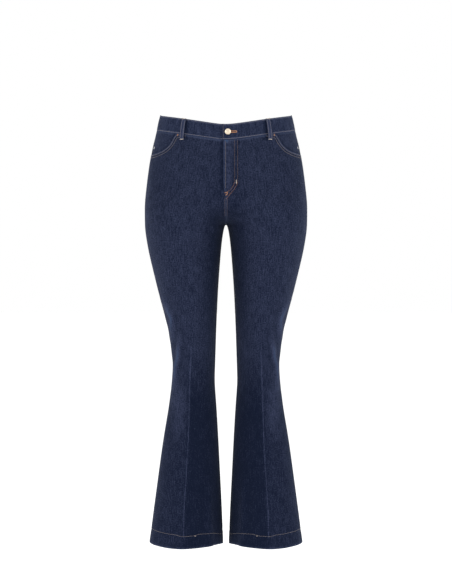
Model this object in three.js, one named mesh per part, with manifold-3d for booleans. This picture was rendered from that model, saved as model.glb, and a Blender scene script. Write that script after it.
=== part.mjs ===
// Flared jeans in the hollow shape that they take when worn: two fronts, two backs, a yoke on each
// back, a curved waistband with belt loops, scoop front pockets, patch back pockets, and a zip fly
// that closes with one button. Every piece is a wall of cloth as thick as the real one.
//
// Millimetres. +Z is up, -Y is the front and +X is the wearer's left. The origin is the middle of the
// waist, level with the middle of the waistband at the side seams, where the wearer holds the jeans up.
import * as THREE from "three";
import { mergeVertices } from "three/addons/utils/BufferGeometryUtils.js";
import Module from "manifold-3d";

const wasm = await Module();
wasm.setup();

// Cloth
const DENIM = 1.2; // one layer
const BAND = 2.4; // the waistband, two layers
const SEAM_GAP = 0.3; // between pieces that are sewn together

// Heights on the side seam
const BAND_TOP = 20;
const BAND_SEAM = -19;
const CROTCH = -258;
const HEM = -1055;
const HEM_DEPTH = 30; // how far the hem is turned up

// The half of the garment on one side, by height.
//   z      the height on the side seam
//   outer  from the middle plane out to the side seam
//   front  from the side seam's plane forward to the front
//   back   from the side seam's plane back to the seat or calf
const FIGURE = [
  { z: 30, outer: 165, front: 118, back: 125 },
  { z: 19, outer: 167, front: 119, back: 127 },
  { z: -19, outer: 175.6, front: 124, back: 132 },
  { z: -63, outer: 186.5, front: 131, back: 141 },
  { z: -109, outer: 195, front: 137, back: 152 },
  { z: -155, outer: 201, front: 140, back: 160 },
  { z: -215, outer: 206.3, front: 138, back: 159 },
  { z: -258, outer: 206, front: 131, back: 142 },
  { z: -307, outer: 200, front: 122, back: 121 },
  { z: -383, outer: 183, front: 113, back: 103 },
  { z: -475, outer: 159.8, front: 99, back: 86 },
  { z: -551, outer: 141.2, front: 85, back: 72 },
  { z: -627, outer: 134.6, front: 73, back: 63 },
  { z: -703, outer: 142.2, front: 69, back: 67 },
  { z: -795, outer: 157.5, front: 73, back: 81 },
  { z: -886, outer: 170.2, front: 83, back: 93 },
  { z: -978, outer: 182.7, front: 94, back: 102 },
  { z: -1055, outer: 193.5, front: 103, back: 109 },
];

// The leg below the crotch, by height.
//   inner   from the middle plane out to the inseam
//   toe     how far the front of the leg is turned outwards
//   crease  how far the pressed crease stands out, at the front and at the back
const LEG = [
  { z: -322, inner: 12.7, toe: 0, crease: 0 },
  { z: -429, inner: 20.3, toe: 3, crease: 0 },
  { z: -520, inner: 24.6, toe: 7, crease: 0.4 },
  { z: -612, inner: 27.9, toe: 9, crease: 1.8 },
  { z: -655, inner: 29.5, toe: 10, crease: 2.6 },
  { z: -703, inner: 25.8, toe: 10, crease: 3.4 },
  { z: -795, inner: 20.1, toe: 10, crease: 4.2 },
  { z: -886, inner: 15.5, toe: 10, crease: 4.2 },
  { z: -978, inner: 10.4, toe: 10, crease: 3.6 },
  { z: -1068, inner: 6.5, toe: 10, crease: 2.8 },
];
const CREASE_SPREAD = 11; // how quickly the crease falls away on each side
const ARCH_HEIGHT = 64; // the round top of the space between the legs
const ARCH_HALF_WIDTH = 12.7;

// The middle seams curve under from the front and from the seat to meet at the crotch. The rest of the
// section turns from hip to leg more gradually.
const FRONT_FORK = { height: 85, roundness: 3, ease: 1.2 };
const BACK_FORK = { height: 120, roundness: 3.2, ease: 1.3 };
const FORK_REACH = 0.36; // the share of the section that the fork shapes, from the middle
const THIGH_TURN = { above: 105, below: 95 }; // from the crotch
const HIP_SQUARENESS = 0.92; // 1 is an oval, and less is squarer

// The waist is lower in front and nearly level behind. The hem is lower at the inseam than at the side
// seam, and sags a little between them.
const FRONT_DIP = 39;
const BACK_DIP = 6;
const DIP_ENDS = -150;
const HEM_DROP = 11;
const HEM_SAG = 5;
const HEM_DROP_STARTS = -900;

// Soft folds, on both legs. A fold runs from one place to another, each a share of the way from the
// side seam to the inseam and a height. A minus height is a hollow. One that runs off has no lower end.
const FOLDS = [
  { face: -1, share: [0.24, 0.2], z: [-430, -556], height: 3, width: 11 },
  { face: -1, share: [0.31, 0.12], z: [-560, -652], height: 3, width: 9 },
  { face: -1, share: [0.3, 0.42], z: [-500, -566], height: -1.6, width: 11 },
  { face: -1, share: [0.72, 0.73], z: [-920, -1075], height: 4, width: 13, runsOff: true },
  { face: -1, share: [0.84, 0.84], z: [-900, -1075], height: -2.6, width: 11, runsOff: true },
  { face: -1, share: [0.22, 0.2], z: [-930, -1075], height: 2.2, width: 18, runsOff: true },
  { face: -1, share: [0.55, 0.86], z: [-300, -268], height: 2.4, width: 9 },
  { face: 1, share: [0.25, 0.75], z: [-286, -306], height: -3, width: 12 },
  { face: 1, share: [0.2, 0.66], z: [-324, -352], height: 2.4, width: 13 },
  { face: 1, share: [0.15, 0.6], z: [-596, -626], height: 3, width: 9 },
  { face: 1, share: [0.82, 0.36], z: [-606, -660], height: 2.8, width: 9 },
  { face: 1, share: [0.1, 0.44], z: [-664, -640], height: -2, width: 8 },
  { face: 1, share: [0.26, 0.25], z: [-910, -1075], height: 3.4, width: 15, runsOff: true },
  { face: 1, share: [0.76, 0.77], z: [-930, -1075], height: 3, width: 14, runsOff: true },
];

// The fly: the wearer's left laps over the right. Lifts are from the plain surface of the jeans.
const FLY = { edge: 6, under: 3, bottom: -196, fade: 14, lap: 1, dip: -0.9, reach: 30, dipReach: 20 };
const ZIP = { from: -8, to: 26, top: -22, bottom: -186, lift: -3.1, thick: 1.2 };
const SLIDER = { width: 8, height: 15, thick: 1.7, top: -24, lift: -1, middle: 9 };
const SHIELD = { from: -12, to: 38, bottom: -200, lift: -5.2, thick: 1.4 };
const LAP = { outerEnd: 9, underEnd: 32, lift: 1.5, dip: -1.2, flat: 34, reach: 58 };

// The scoop pocket's mouth: along the waistband from the side seam, and down the side seam
const MOUTH = { reach: 109, drop: 61, squareness: 3.4 };
const INSET = { width: 128, depth: 86, lift: -2, rise: 40 };
const RIVET = { fromSide: 34, drop: 44, radius: 3.6, height: 1.3 };

const YOKE = { side: 40, middle: 72 }; // its depth at the side seam and at the centre back
const BACK_POCKET = {
  from: 38,
  width: 150,
  top: -100,
  height: 138,
  tip: 22,
  slope: 0.12,
  taper: 9,
  lift: 1.3,
};

const LOOP = { width: 11, thick: 1.6, stand: 2.8, tack: 0.5, below: 14, tackLength: 4, slope: 5 };
const FRONT_LOOP = { at: 108.5, lean: 6 }; // from the centre front, and how far its top leans that way
const BACK_LOOP = { at: 118, lean: 1 };
const MIDDLE_LOOP = { at: 0, lean: 0 };

const BUTTON = { at: 4.6, radius: 8, head: 3.4, shankRadius: 2.2, eye: 2.9, slit: 1.2, slitEnd: 22 };

const COLUMNS = 16; // across a front or a back
const SECTION_STEPS = 72; // points in one measured section

const clamp = (v, low, high) => Math.min(high, Math.max(low, v));
const lerp = (a, b, t) => a + (b - a) * t;
const smooth = (t) => {
  const k = clamp(t, 0, 1);
  return k * k * (3 - 2 * k);
};

// A smooth curve through one column of a table, with no overshoot. z falls from row to row.
function curveOf(table, column) {
  const z = table.map((row) => -row.z);
  const v = table.map((row) => row[column]);
  const step = z.slice(1).map((b, i) => (v[i + 1] - v[i]) / (b - z[i]));
  const slope = v.map((_, i) => {
    if (i === 0) return step[0];
    if (i === step.length) return step[i - 1];
    const turns = step[i - 1] * step[i] <= 0;
    return turns ? 0 : (2 * step[i - 1] * step[i]) / (step[i - 1] + step[i]);
  });
  return (height) => {
    const at = clamp(-height, z[0], z[z.length - 1]);
    const i = clamp(z.findIndex((end) => end > at) - 1, 0, step.length - 1);
    const k = at >= z[z.length - 1] ? z.length - 2 : i;
    const wide = z[k + 1] - z[k];
    const t = (at - z[k]) / wide;
    return (
      v[k] * (1 + 2 * t) * (1 - t) ** 2 +
      slope[k] * wide * t * (1 - t) ** 2 +
      v[k + 1] * t * t * (3 - 2 * t) +
      slope[k + 1] * wide * t * t * (t - 1)
    );
  };
}

const outerAt = curveOf(FIGURE, "outer");
const frontAt = curveOf(FIGURE, "front");
const backAt = curveOf(FIGURE, "back");
const innerBelowArch = curveOf(LEG, "inner");
const toeAt = curveOf(LEG, "toe");
const creaseAt = curveOf(LEG, "crease");

function innerAt(z) {
  const below = Math.max(0, CROTCH - z);
  if (below > ARCH_HEIGHT) return innerBelowArch(z);
  return ARCH_HALF_WIDTH * Math.sqrt(below / ARCH_HEIGHT);
}

// How far a section has turned from hip to leg, from 0 to 1. share is 0 at the middle, 1 at the side.
function legShare(face, z, share) {
  const fork = face < 0 ? FRONT_FORK : BACK_FORK;
  const t = clamp((z - CROTCH) / fork.height, 0, 1);
  const atMiddle = (1 - t ** (1 / fork.roundness)) ** fork.ease;
  const atSide = smooth((CROTCH + THIGH_TURN.above - z) / (THIGH_TURN.above + THIGH_TURN.below));
  return lerp(atMiddle, atSide, smooth(share / FORK_REACH));
}

// The level section of one front or back at a height, from the middle out to the side seam, with the
// distance along it. The hip's is a quarter of an oval and the leg's is half of one.
const sections = new Map();
function sectionOf(face, z) {
  const key = face * 1e6 + z;
  if (!sections.has(key)) sections.set(key, measureSection(face, z));
  return sections.get(key);
}

function measureSection(face, z) {
  const outer = outerAt(z);
  const inner = innerAt(z);
  const points = [];
  for (let i = 0; i <= SECTION_STEPS; i++) {
    const share = i / SECTION_STEPS;
    const leg = legShare(face, z, share);
    const hipAngle = (share * Math.PI) / 2;
    const legAngle = share * Math.PI;
    const hipX = outer * Math.sin(hipAngle) ** HIP_SQUARENESS;
    const hipY = Math.max(0, Math.cos(hipAngle)) ** HIP_SQUARENESS;
    const legX = (outer + inner) / 2 - ((outer - inner) / 2) * Math.cos(legAngle);
    const legY = Math.sin(legAngle);
    const turned = -face * toeAt(z) * Math.sin(legAngle) * leg;
    points.push({ x: lerp(hipX, legX, leg) + turned, y: lerp(hipY, legY, leg), along: 0 });
  }
  const deepest = Math.max(...points.map((p) => p.y));
  const depth = face < 0 ? frontAt(z) : backAt(z);
  for (const p of points) p.y *= (face * depth) / deepest;
  for (let i = 1; i <= SECTION_STEPS; i++) {
    const run = Math.hypot(points[i].x - points[i - 1].x, points[i].y - points[i - 1].y);
    points[i].along = points[i - 1].along + run;
  }
  return points;
}

// How far the folds and the pressed crease stand out, at a distance from the middle edge
function foldsAt(face, z, along, length) {
  const share = 1 - along / length;
  const fromCrease = Math.abs(share - 0.5) * length;
  let out = creaseAt(z) * Math.exp(-fromCrease / CREASE_SPREAD);
  for (const fold of FOLDS) {
    if (fold.face !== face) continue;
    const dx = (fold.share[1] - fold.share[0]) * length;
    const dz = fold.z[1] - fold.z[0];
    const px = (share - fold.share[0]) * length;
    const pz = z - fold.z[0];
    const t = clamp((px * dx + pz * dz) / (dx * dx + dz * dz), 0, 1);
    const off = Math.hypot(px - t * dx, pz - t * dz);
    const ends = fold.runsOff ? smooth(t * 1.6) : Math.sin(Math.PI * t);
    out += fold.height * ends * Math.exp(-((off / fold.width) ** 2));
  }
  return out;
}

// The height of a place whose height on the side seam is z. share is 0 at the side, 1 at the middle.
function heightAt(face, z, share) {
  const top = smooth((z - DIP_ENDS) / (BAND_SEAM - DIP_ENDS));
  const dip = face < 0 ? FRONT_DIP * (12 / 11) * (share - share ** 12 / 12) : BACK_DIP * share * share;
  const hem = smooth((HEM_DROP_STARTS - z) / (HEM_DROP_STARTS - HEM));
  const drop = HEM_DROP * share ** 3 + HEM_SAG * Math.sin(Math.PI * share) * (1 - share);
  return z - top * dip - hem * drop;
}

// A place on the jeans: side is 1 for the wearer's left and -1 for the right, face is -1 for the front
// and 1 for the back, along is from the middle plane or the inseam, and lift is out from the surface.
// A minus along has crossed the middle plane.
function place(side, face, z, along, lift = 0) {
  const section = sectionOf(face, z);
  const length = section[SECTION_STEPS].along;
  const at = clamp(Math.abs(along), 0, length);
  let i = section.findIndex((p) => p.along >= at);
  i = clamp(i, 1, SECTION_STEPS);
  const a = section[i - 1];
  const b = section[i];
  const t = (at - a.along) / (b.along - a.along);
  const run = b.along - a.along;
  // The surface faces away from the leg, so a front faces -Y where the section runs to +X.
  const normal = new THREE.Vector2(-face * (b.y - a.y), face * (b.x - a.x)).divideScalar(run);
  if (at > length - 1e-6) normal.set(1, 0);
  const out = lift + foldsAt(face, z, at, length);
  const x = lerp(a.x, b.x, t) + normal.x * out;
  const y = lerp(a.y, b.y, t) + normal.y * out;
  const crossed = along < 0 ? -1 : 1;
  return {
    point: new THREE.Vector3(side * crossed * x, y, heightAt(face, z, clamp(1 - at / length, 0, 1))),
    normal: new THREE.Vector3(side * crossed * normal.x, normal.y, 0),
  };
}

const lengthAt = (face, z) => sectionOf(face, z)[SECTION_STEPS].along;

// A closed wall from a grid of outer points and one of inner points. A ring's columns close on
// themselves. turned says that the columns run the other way round the garment.
function wall(outer, inner, { turned = false, ring = false } = {}) {
  const rows = outer.length;
  const columns = outer[0].length;
  const position = [...outer.flat(), ...inner.flat()].flatMap((p) => [p.x, p.y, p.z]);
  const index = [];
  const face = (a, b, c) => index.push(...(turned ? [a, c, b] : [a, b, c]));
  const quad = (a, b, c, d) => {
    face(a, b, c);
    face(a, c, d);
  };
  const at = (r, c) => r * columns + (c % columns);
  const inside = rows * columns;
  const spans = ring ? columns : columns - 1;
  for (let r = 0; r < rows - 1; r++) {
    for (let c = 0; c < spans; c++) {
      quad(at(r, c), at(r, c + 1), at(r + 1, c + 1), at(r + 1, c));
      quad(
        inside + at(r, c),
        inside + at(r + 1, c),
        inside + at(r + 1, c + 1),
        inside + at(r, c + 1),
      );
    }
  }
  for (let c = 0; c < spans; c++) {
    const low = rows - 1;
    quad(inside + at(0, c), inside + at(0, c + 1), at(0, c + 1), at(0, c));
    quad(at(low, c), at(low, c + 1), inside + at(low, c + 1), inside + at(low, c));
  }
  for (let r = 0; r < rows - 1 && !ring; r++) {
    const end = columns - 1;
    quad(inside + at(r, 0), at(r, 0), at(r + 1, 0), inside + at(r + 1, 0));
    quad(at(r, end), inside + at(r, end), inside + at(r + 1, end), at(r + 1, end));
  }
  const geometry = new THREE.BufferGeometry();
  geometry.setAttribute("position", new THREE.Float32BufferAttribute(position, 3));
  geometry.setIndex(index);
  return geometry;
}

// A wall over a grid of places. spot(r, c) gives a place's side, face, z, along, lift and thickness,
// and keep(point) holds a point back from the planes that the seams lie in.
function clothOver(rows, columns, spot, keep, options) {
  const spots = [];
  const outer = [];
  for (let r = 0; r < rows; r++) {
    spots.push([]);
    outer.push([]);
    for (let c = 0; c < columns; c++) {
      const { side, face, z, along, lift = 0, thick = DENIM } = spot(r, c);
      const { point } = place(side, face, z, along, lift);
      spots[r].push({ z, thick });
      outer[r].push(keep(point, z));
    }
  }
  // The inside is square to the outside, as thick as the cloth.
  const inner = outer.map((row, r) =>
    row.map((point, c) => {
      const up = outer[Math.max(r - 1, 0)][c].clone().sub(outer[Math.min(r + 1, rows - 1)][c]);
      const across = row[Math.min(c + 1, columns - 1)].clone().sub(row[Math.max(c - 1, 0)]);
      const inward = up.cross(across).multiplyScalar(options.turned ? 1 : -1);
      if (options.level) inward.z = 0;
      inward.normalize();
      return keep(point.clone().addScaledVector(inward, spots[r][c].thick), spots[r][c].z);
    }),
  );
  return wall(outer, inner, options);
}

// Holds a panel on its own side of the side seam's and inseam's plane, and of the middle plane where
// it doesn't lap over it
function keepTo(side, face, lapsAt = () => 0) {
  return (p, z) => {
    p.y = face * Math.max(face * p.y, SEAM_GAP / 2);
    if (lapsAt(z) === 0) p.x = side * Math.max(side * p.x, SEAM_GAP / 2);
    return p;
  };
}

// Heights of a panel's rows, on the side seam and at the middle edge. They close up at the crotch.
const PANEL_ROWS = [
  { side: -112, middle: -126 },
  { side: -140, middle: -155 },
  { side: -166, middle: -180 },
  { side: -188, middle: -196 },
  { side: -208, middle: -212 },
  { side: -222, middle: -226 },
  { side: -232, middle: -239 },
  { side: -250, middle: -250.5 },
  { side: -266, middle: -256.2 },
  { side: -281, middle: -257.8 },
  { side: -296, middle: -258.2 },
  { side: -311, middle: -260.5 },
  { side: -328, middle: -267 },
  { side: -348, middle: -281 },
  { side: -372, middle: -306 },
  { side: -400, middle: -342 },
  { side: -430, middle: -386 },
  { side: -462, middle: -432 },
  { side: -494, middle: -476 },
  { side: -526, middle: -516 },
  { side: -556, middle: -552 },
  { side: -582, middle: -582 },
  { side: -608, middle: -608 },
  { side: -634, middle: -634 },
  { side: -660, middle: -660 },
  { side: -690, middle: -690 },
  { side: -730, middle: -730 },
  { side: -775, middle: -775 },
  { side: -825, middle: -825 },
  { side: -880, middle: -880 },
  { side: -935, middle: -935 },
  { side: -985, middle: -985 },
  { side: HEM + HEM_DEPTH + 1, middle: HEM + HEM_DEPTH + 1 },
  { side: HEM + HEM_DEPTH - 1, middle: HEM + HEM_DEPTH - 1 },
  { side: HEM, middle: HEM },
];
const TOP_ROWS = 3; // rows between a panel's top edge and the first row of the table

// A line's points again, at even distances along it
function evenly(line, count) {
  const along = [0];
  for (let i = 1; i < line.length; i++) along.push(along[i - 1] + line[i].distanceTo(line[i - 1]));
  return Array.from({ length: count + 1 }, (_, k) => {
    const at = (k / count) * along[along.length - 1];
    const i = clamp(along.findIndex((end) => end >= at - 1e-9), 1, line.length - 1);
    return line[i - 1].clone().lerp(line[i], (at - along[i - 1]) / (along[i] - along[i - 1]));
  });
}

const rowHeight = (row, share) => lerp(row.side, row.middle, share);
const clothAt = (z) => (z < HEM + HEM_DEPTH ? 2 * DENIM : DENIM);

// A panel whose top edge is any line: edge(c) gives its distance from the side seam and its height.
function panel(side, face, edge, middle, lapsAt) {
  const rows = TOP_ROWS + PANEL_ROWS.length;
  const spot = (r, c) => {
    const share = c / COLUMNS;
    const down = Math.min(1, r / TOP_ROWS);
    const row = PANEL_ROWS[Math.max(0, r - TOP_ROWS)];
    const top = edge(c);
    const topShare = top.fromSide / (lengthAt(face, top.z) - middle(top.z).along);
    const z = lerp(top.z, rowHeight(row, share), down);
    // A row is as long as its line at the middle edge, so the columns sweep gently into the fork.
    const measured = r < TOP_ROWS ? z : row.middle;
    const whole = lengthAt(face, measured) - middle(measured).along;
    const fromSide = lerp(topShare, share, down) * whole;
    const along = c === COLUMNS ? middle(z).along : lengthAt(face, z) - fromSide;
    return { side, face, z, along, lift: middle(z).lift(along), thick: clothAt(z) };
  };
  return clothOver(rows, COLUMNS + 1, spot, keepTo(side, face, lapsAt), { turned: side * face > 0 });
}

// The fronts lap above the bottom of the fly, and are level with each other again a little below it.
const laps = (z) => smooth((z - FLY.bottom) / FLY.fade);
const stepsApart = (z) => smooth((z - FLY.bottom) / FLY.fade + 1);

// The middle edge of each front: the left one laps over, and the right one runs under it
function flyEdge(side) {
  const over = [FLY.edge, FLY.lap, FLY.reach];
  const under = [FLY.under, FLY.dip, FLY.dipReach];
  const [edge, lift, reach] = side > 0 ? over : under;
  return (z) => ({
    along: lerp(SEAM_GAP / 2, -edge, laps(z)),
    lift: (along) => stepsApart(z) * lift * (1 - smooth((along + edge) / (reach + edge))),
  });
}
const plainEdge = () => ({ along: SEAM_GAP / 2, lift: () => 0 });

// The front's top edge: down the mouth of the pocket, then along the waistband to the middle
const MOUTH_COLUMNS = 7;
const MOUTH_LINE = evenly(
  Array.from({ length: 91 }, (_, degrees) => {
    const angle = (degrees * Math.PI) / 180;
    const power = 2 / MOUTH.squareness;
    const drop = (MOUTH.drop - SEAM_GAP) * Math.max(0, Math.cos(angle)) ** power;
    return new THREE.Vector2(MOUTH.reach * Math.sin(angle) ** power, BAND_SEAM - SEAM_GAP - drop);
  }),
  MOUTH_COLUMNS,
);
function frontTop(side) {
  return (c) => {
    if (c <= MOUTH_COLUMNS) return { fromSide: MOUTH_LINE[c].x, z: MOUTH_LINE[c].y };
    const z = BAND_SEAM - SEAM_GAP;
    const length = lengthAt(-1, z);
    if (c === COLUMNS) return { fromSide: length - flyEdge(side)(z).along, z };
    return { fromSide: lerp(MOUTH.reach, length, (c - MOUTH_COLUMNS) / (COLUMNS - 1 - MOUTH_COLUMNS)), z };
  };
}

const yokeSeam = (share) => BAND_SEAM - lerp(YOKE.side, YOKE.middle, share);
const backTop = (c) => {
  const share = c / COLUMNS;
  const z = yokeSeam(share) - SEAM_GAP;
  return { fromSide: share * lengthAt(1, z), z };
};

function yoke(side) {
  const rows = 4;
  const spot = (r, c) => {
    const share = c / COLUMNS;
    const z = lerp(BAND_SEAM - SEAM_GAP, yokeSeam(share), r / (rows - 1));
    const along = (1 - share) * (lengthAt(1, z) - SEAM_GAP) + SEAM_GAP / 2;
    return { side, face: 1, z, along };
  };
  return clothOver(rows, COLUMNS + 1, spot, keepTo(side, 1), { turned: side > 0, level: true });
}

// The cloth seen inside the pocket's mouth. It comes up level with the yoke at the side seam.
function pocketInset(side) {
  const rows = 7;
  const columns = 10;
  const spot = (r, c) => {
    const down = (r / (rows - 1)) * INSET.depth;
    const z = BAND_SEAM - SEAM_GAP - down;
    const fromSide = SEAM_GAP / 2 + (c / (columns - 1)) * INSET.width;
    const under = Math.max(smooth(fromSide / INSET.rise), smooth((down - 12) / 30));
    return { side, face: -1, z, along: lengthAt(-1, z) - fromSide, lift: INSET.lift * under };
  };
  return clothOver(rows, columns, spot, keepTo(side, -1), { turned: side < 0, level: true });
}

// A strip inside the fly, wholly on the surface of the front at its own depth
function flyStrip({ from, to, top = BAND_SEAM - SEAM_GAP, bottom, lift, thick }, columns, rows) {
  const spot = (r, c) => {
    const x = lerp(from, to, c / (columns - 1));
    return { side: 1, face: -1, z: lerp(top, bottom, r / (rows - 1)), along: x, lift, thick };
  };
  return clothOver(rows, columns, spot, (p) => p, { turned: true });
}

function slider() {
  const half = SLIDER.width / 2;
  const box = {
    from: SLIDER.middle - half,
    to: SLIDER.middle + half,
    top: SLIDER.top,
    bottom: SLIDER.top - SLIDER.height,
    lift: SLIDER.lift,
    thick: SLIDER.thick,
  };
  return flyStrip(box, 3, 3);
}

function backPocket(side) {
  const rows = 12;
  const columns = 11;
  const spot = (r, c) => {
    const u = c / (columns - 1);
    const v = r / (rows - 1);
    const inset = BACK_POCKET.taper * v;
    const along = lerp(BACK_POCKET.from + inset, BACK_POCKET.from + BACK_POCKET.width - inset, u);
    const top = BACK_POCKET.top + BACK_POCKET.slope * (along - BACK_POCKET.from);
    const bottom = BACK_POCKET.top - BACK_POCKET.height + BACK_POCKET.tip * Math.abs(2 * u - 1);
    return { side, face: 1, z: lerp(top, bottom, v), along, lift: BACK_POCKET.lift + DENIM };
  };
  return clothOver(rows, columns, spot, (p) => p, { turned: side < 0 });
}

// Places round the waistband, from the end that lies under, by way of the back, to the end on top
function bandStations() {
  const stations = [];
  const quarter = (side, face, distances) => {
    for (const along of distances) stations.push({ side, face, along });
  };
  const front = lengthAt(-1, BAND_SEAM);
  const back = lengthAt(1, BAND_SEAM);
  const mouth = front - MOUTH.reach;
  const spread = (from, to, count) =>
    Array.from({ length: count + 1 }, (_, i) => lerp(from, to, i / count));
  const inner = COLUMNS - 1 - MOUTH_COLUMNS;
  quarter(-1, -1, [-LAP.underEnd, -22, -11]);
  quarter(-1, -1, spread(0, mouth, inner));
  quarter(-1, -1, spread(mouth, front, 6).slice(1));
  quarter(-1, 1, spread(back, 0, COLUMNS).slice(1));
  quarter(1, 1, spread(0, back, COLUMNS).slice(1));
  quarter(1, -1, spread(front, mouth, 6).slice(1));
  quarter(1, -1, spread(mouth, 0, inner).slice(1));
  quarter(1, -1, [-LAP.outerEnd]);
  return stations;
}

function bandLift({ side, face, along }) {
  if (face > 0) return 0;
  if (side > 0) return LAP.lift * (1 - smooth((along - LAP.flat) / (LAP.reach - LAP.flat)));
  return LAP.dip * (1 - smooth((along - LAP.outerEnd - 3) / 18));
}

function waistband() {
  const stations = bandStations();
  const rows = 3;
  const spot = (r, c) => {
    const at = stations[c];
    const z = lerp(BAND_TOP, BAND_SEAM, r / (rows - 1));
    // A place on the band is the same share of the way round at every height.
    const share = at.along / lengthAt(at.face, BAND_SEAM);
    const along = at.along < 0 ? at.along : share * lengthAt(at.face, z);
    return { ...at, z, along, lift: bandLift(at), thick: BAND };
  };
  return clothOver(rows, stations.length, spot, (p) => p, { turned: false, level: true });
}

// A loop lies on the band at its top, stands off it, and is tacked down below the waistband's seam.
function beltLoop(side, face, { at, lean }) {
  const top = BAND_TOP;
  const bottom = BAND_SEAM - LOOP.below;
  const heights = [
    { z: top + 0.6, stand: LOOP.tack },
    { z: top - LOOP.tackLength, stand: LOOP.tack },
    { z: top - LOOP.tackLength - LOOP.slope, stand: LOOP.stand },
    { z: (top + bottom) / 2, stand: LOOP.stand },
    { z: bottom + LOOP.tackLength + LOOP.slope, stand: LOOP.stand },
    { z: bottom + LOOP.tackLength, stand: LOOP.tack },
    { z: bottom, stand: LOOP.tack },
  ];
  const columns = 3;
  const spot = (r, c) => {
    const { z, stand } = heights[r];
    const tilt = lean * ((z - bottom) / (top - bottom) - 0.5);
    const along = at - tilt + (c / (columns - 1) - 0.5) * LOOP.width;
    return { side, face, z, along, lift: stand + LOOP.thick, thick: LOOP.thick };
  };
  return clothOver(heights.length, columns, spot, (p) => p, { turned: side * face < 0 });
}

// A turned piece stands on a place with its axis square to the cloth there.
function turnedPiece(profile, [side, face, z, along, lift], sides) {
  const { point } = place(side, face, z, along, lift);
  const up = place(side, face, z + 4, along, lift).point.sub(place(side, face, z - 4, along, lift).point);
  const across = place(side, face, z, along + 4, lift).point;
  across.sub(place(side, face, z, along - 4, lift).point);
  const axis = across.cross(up).multiplyScalar(-side * face).normalize();
  const points = profile.map(([radius, height]) => new THREE.Vector2(radius, height));
  const turned = new THREE.LatheGeometry(points, sides);
  turned.deleteAttribute("uv");
  turned.deleteAttribute("normal");
  const geometry = mergeVertices(turned, 1e-4);
  const mesh = new THREE.Mesh(geometry);
  mesh.position.copy(point);
  mesh.quaternion.setFromUnitVectors(new THREE.Vector3(0, 1, 0), axis);
  return mesh;
}

const buttonZ = (BAND_TOP + BAND_SEAM) / 2;

function button() {
  const under = LAP.dip + 2 * SEAM_GAP - LAP.lift; // from the top of the lap down to the band under it
  const profile = [
    [0, under],
    [BUTTON.shankRadius, under],
    [BUTTON.shankRadius, SEAM_GAP + 0.5],
    [BUTTON.radius * 0.8, SEAM_GAP + 0.2],
    [BUTTON.radius, SEAM_GAP + 1],
    [BUTTON.radius, SEAM_GAP + 1.9],
    [BUTTON.radius * 0.86, BUTTON.head - 0.2],
    [BUTTON.radius * 0.66, BUTTON.head - 0.6],
    [BUTTON.radius * 0.4, BUTTON.head - 0.1],
    [0, BUTTON.head],
  ];
  return turnedPiece(profile, [1, -1, buttonZ, BUTTON.at, LAP.lift], 24);
}

function rivet(side) {
  const z = BAND_SEAM - RIVET.drop;
  const { radius, height } = RIVET;
  const profile = [
    [0, SEAM_GAP],
    [radius, SEAM_GAP],
    [radius * 0.94, SEAM_GAP + height * 0.5],
    [radius * 0.55, SEAM_GAP + height * 0.7],
    [radius * 0.35, SEAM_GAP + height],
    [0, SEAM_GAP + height],
  ];
  return turnedPiece(profile, [side, -1, z, lengthAt(-1, z) - RIVET.fromSide, INSET.lift], 14);
}

// A closed geometry as a solid that can be cut
function solidOf(geometry) {
  const bare = geometry.clone();
  bare.deleteAttribute("uv");
  bare.deleteAttribute("normal");
  const merged = mergeVertices(bare, 1e-4);
  return new wasm.Manifold(
    new wasm.Mesh({
      numProp: 3,
      vertProperties: new Float32Array(merged.attributes.position.array),
      triVerts: new Uint32Array(merged.index.array),
    }),
  );
}

function geometryOf(solid) {
  const { numProp, numVert, vertProperties, triVerts } = solid.getMesh();
  const position = new Float32Array(numVert * 3);
  for (let i = 0; i < numVert; i++) {
    position.set(vertProperties.subarray(i * numProp, i * numProp + 3), i * 3);
  }
  const geometry = new THREE.BufferGeometry();
  geometry.setAttribute("position", new THREE.BufferAttribute(position, 3));
  geometry.setIndex(new THREE.BufferAttribute(triVerts, 1));
  return geometry;
}

// The keyhole that the button's shank goes through, cut only through the end of the band on top
function cutButtonhole(band) {
  const { point } = place(1, -1, buttonZ, BUTTON.at, LAP.lift);
  const reach = BAND + 0.15; // stops in the gap between the two ends of the band
  const middle = point.y + reach / 2 - 2;
  const eye = new THREE.CylinderGeometry(BUTTON.eye, BUTTON.eye, reach + 4, 16);
  eye.translate(point.x, middle, point.z);
  const slit = new THREE.BoxGeometry(BUTTON.slitEnd - BUTTON.at, reach + 4, BUTTON.slit);
  slit.translate((BUTTON.slitEnd + BUTTON.at) / 2, middle, point.z);
  return geometryOf(solidOf(band).subtract(solidOf(eye)).subtract(solidOf(slit)));
}

const cloth = (hex) => new THREE.MeshStandardMaterial({ color: hex, roughness: 0.9, metalness: 0 });
const metal = (hex) => new THREE.MeshStandardMaterial({ color: hex, roughness: 0.3, metalness: 1 });
const denim = cloth(0x282d41);
const tapeCloth = cloth(0x1b1f2e);
const brass = metal(0xe2c79a);
const nickel = metal(0xb9bac2);

const jeans = new THREE.Group();
jeans.name = "flared_jeans";

function add(name, shape, material) {
  const mesh = shape.isMesh ? shape : new THREE.Mesh(shape);
  mesh.name = name;
  mesh.material = material;
  jeans.add(mesh);
}

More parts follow.
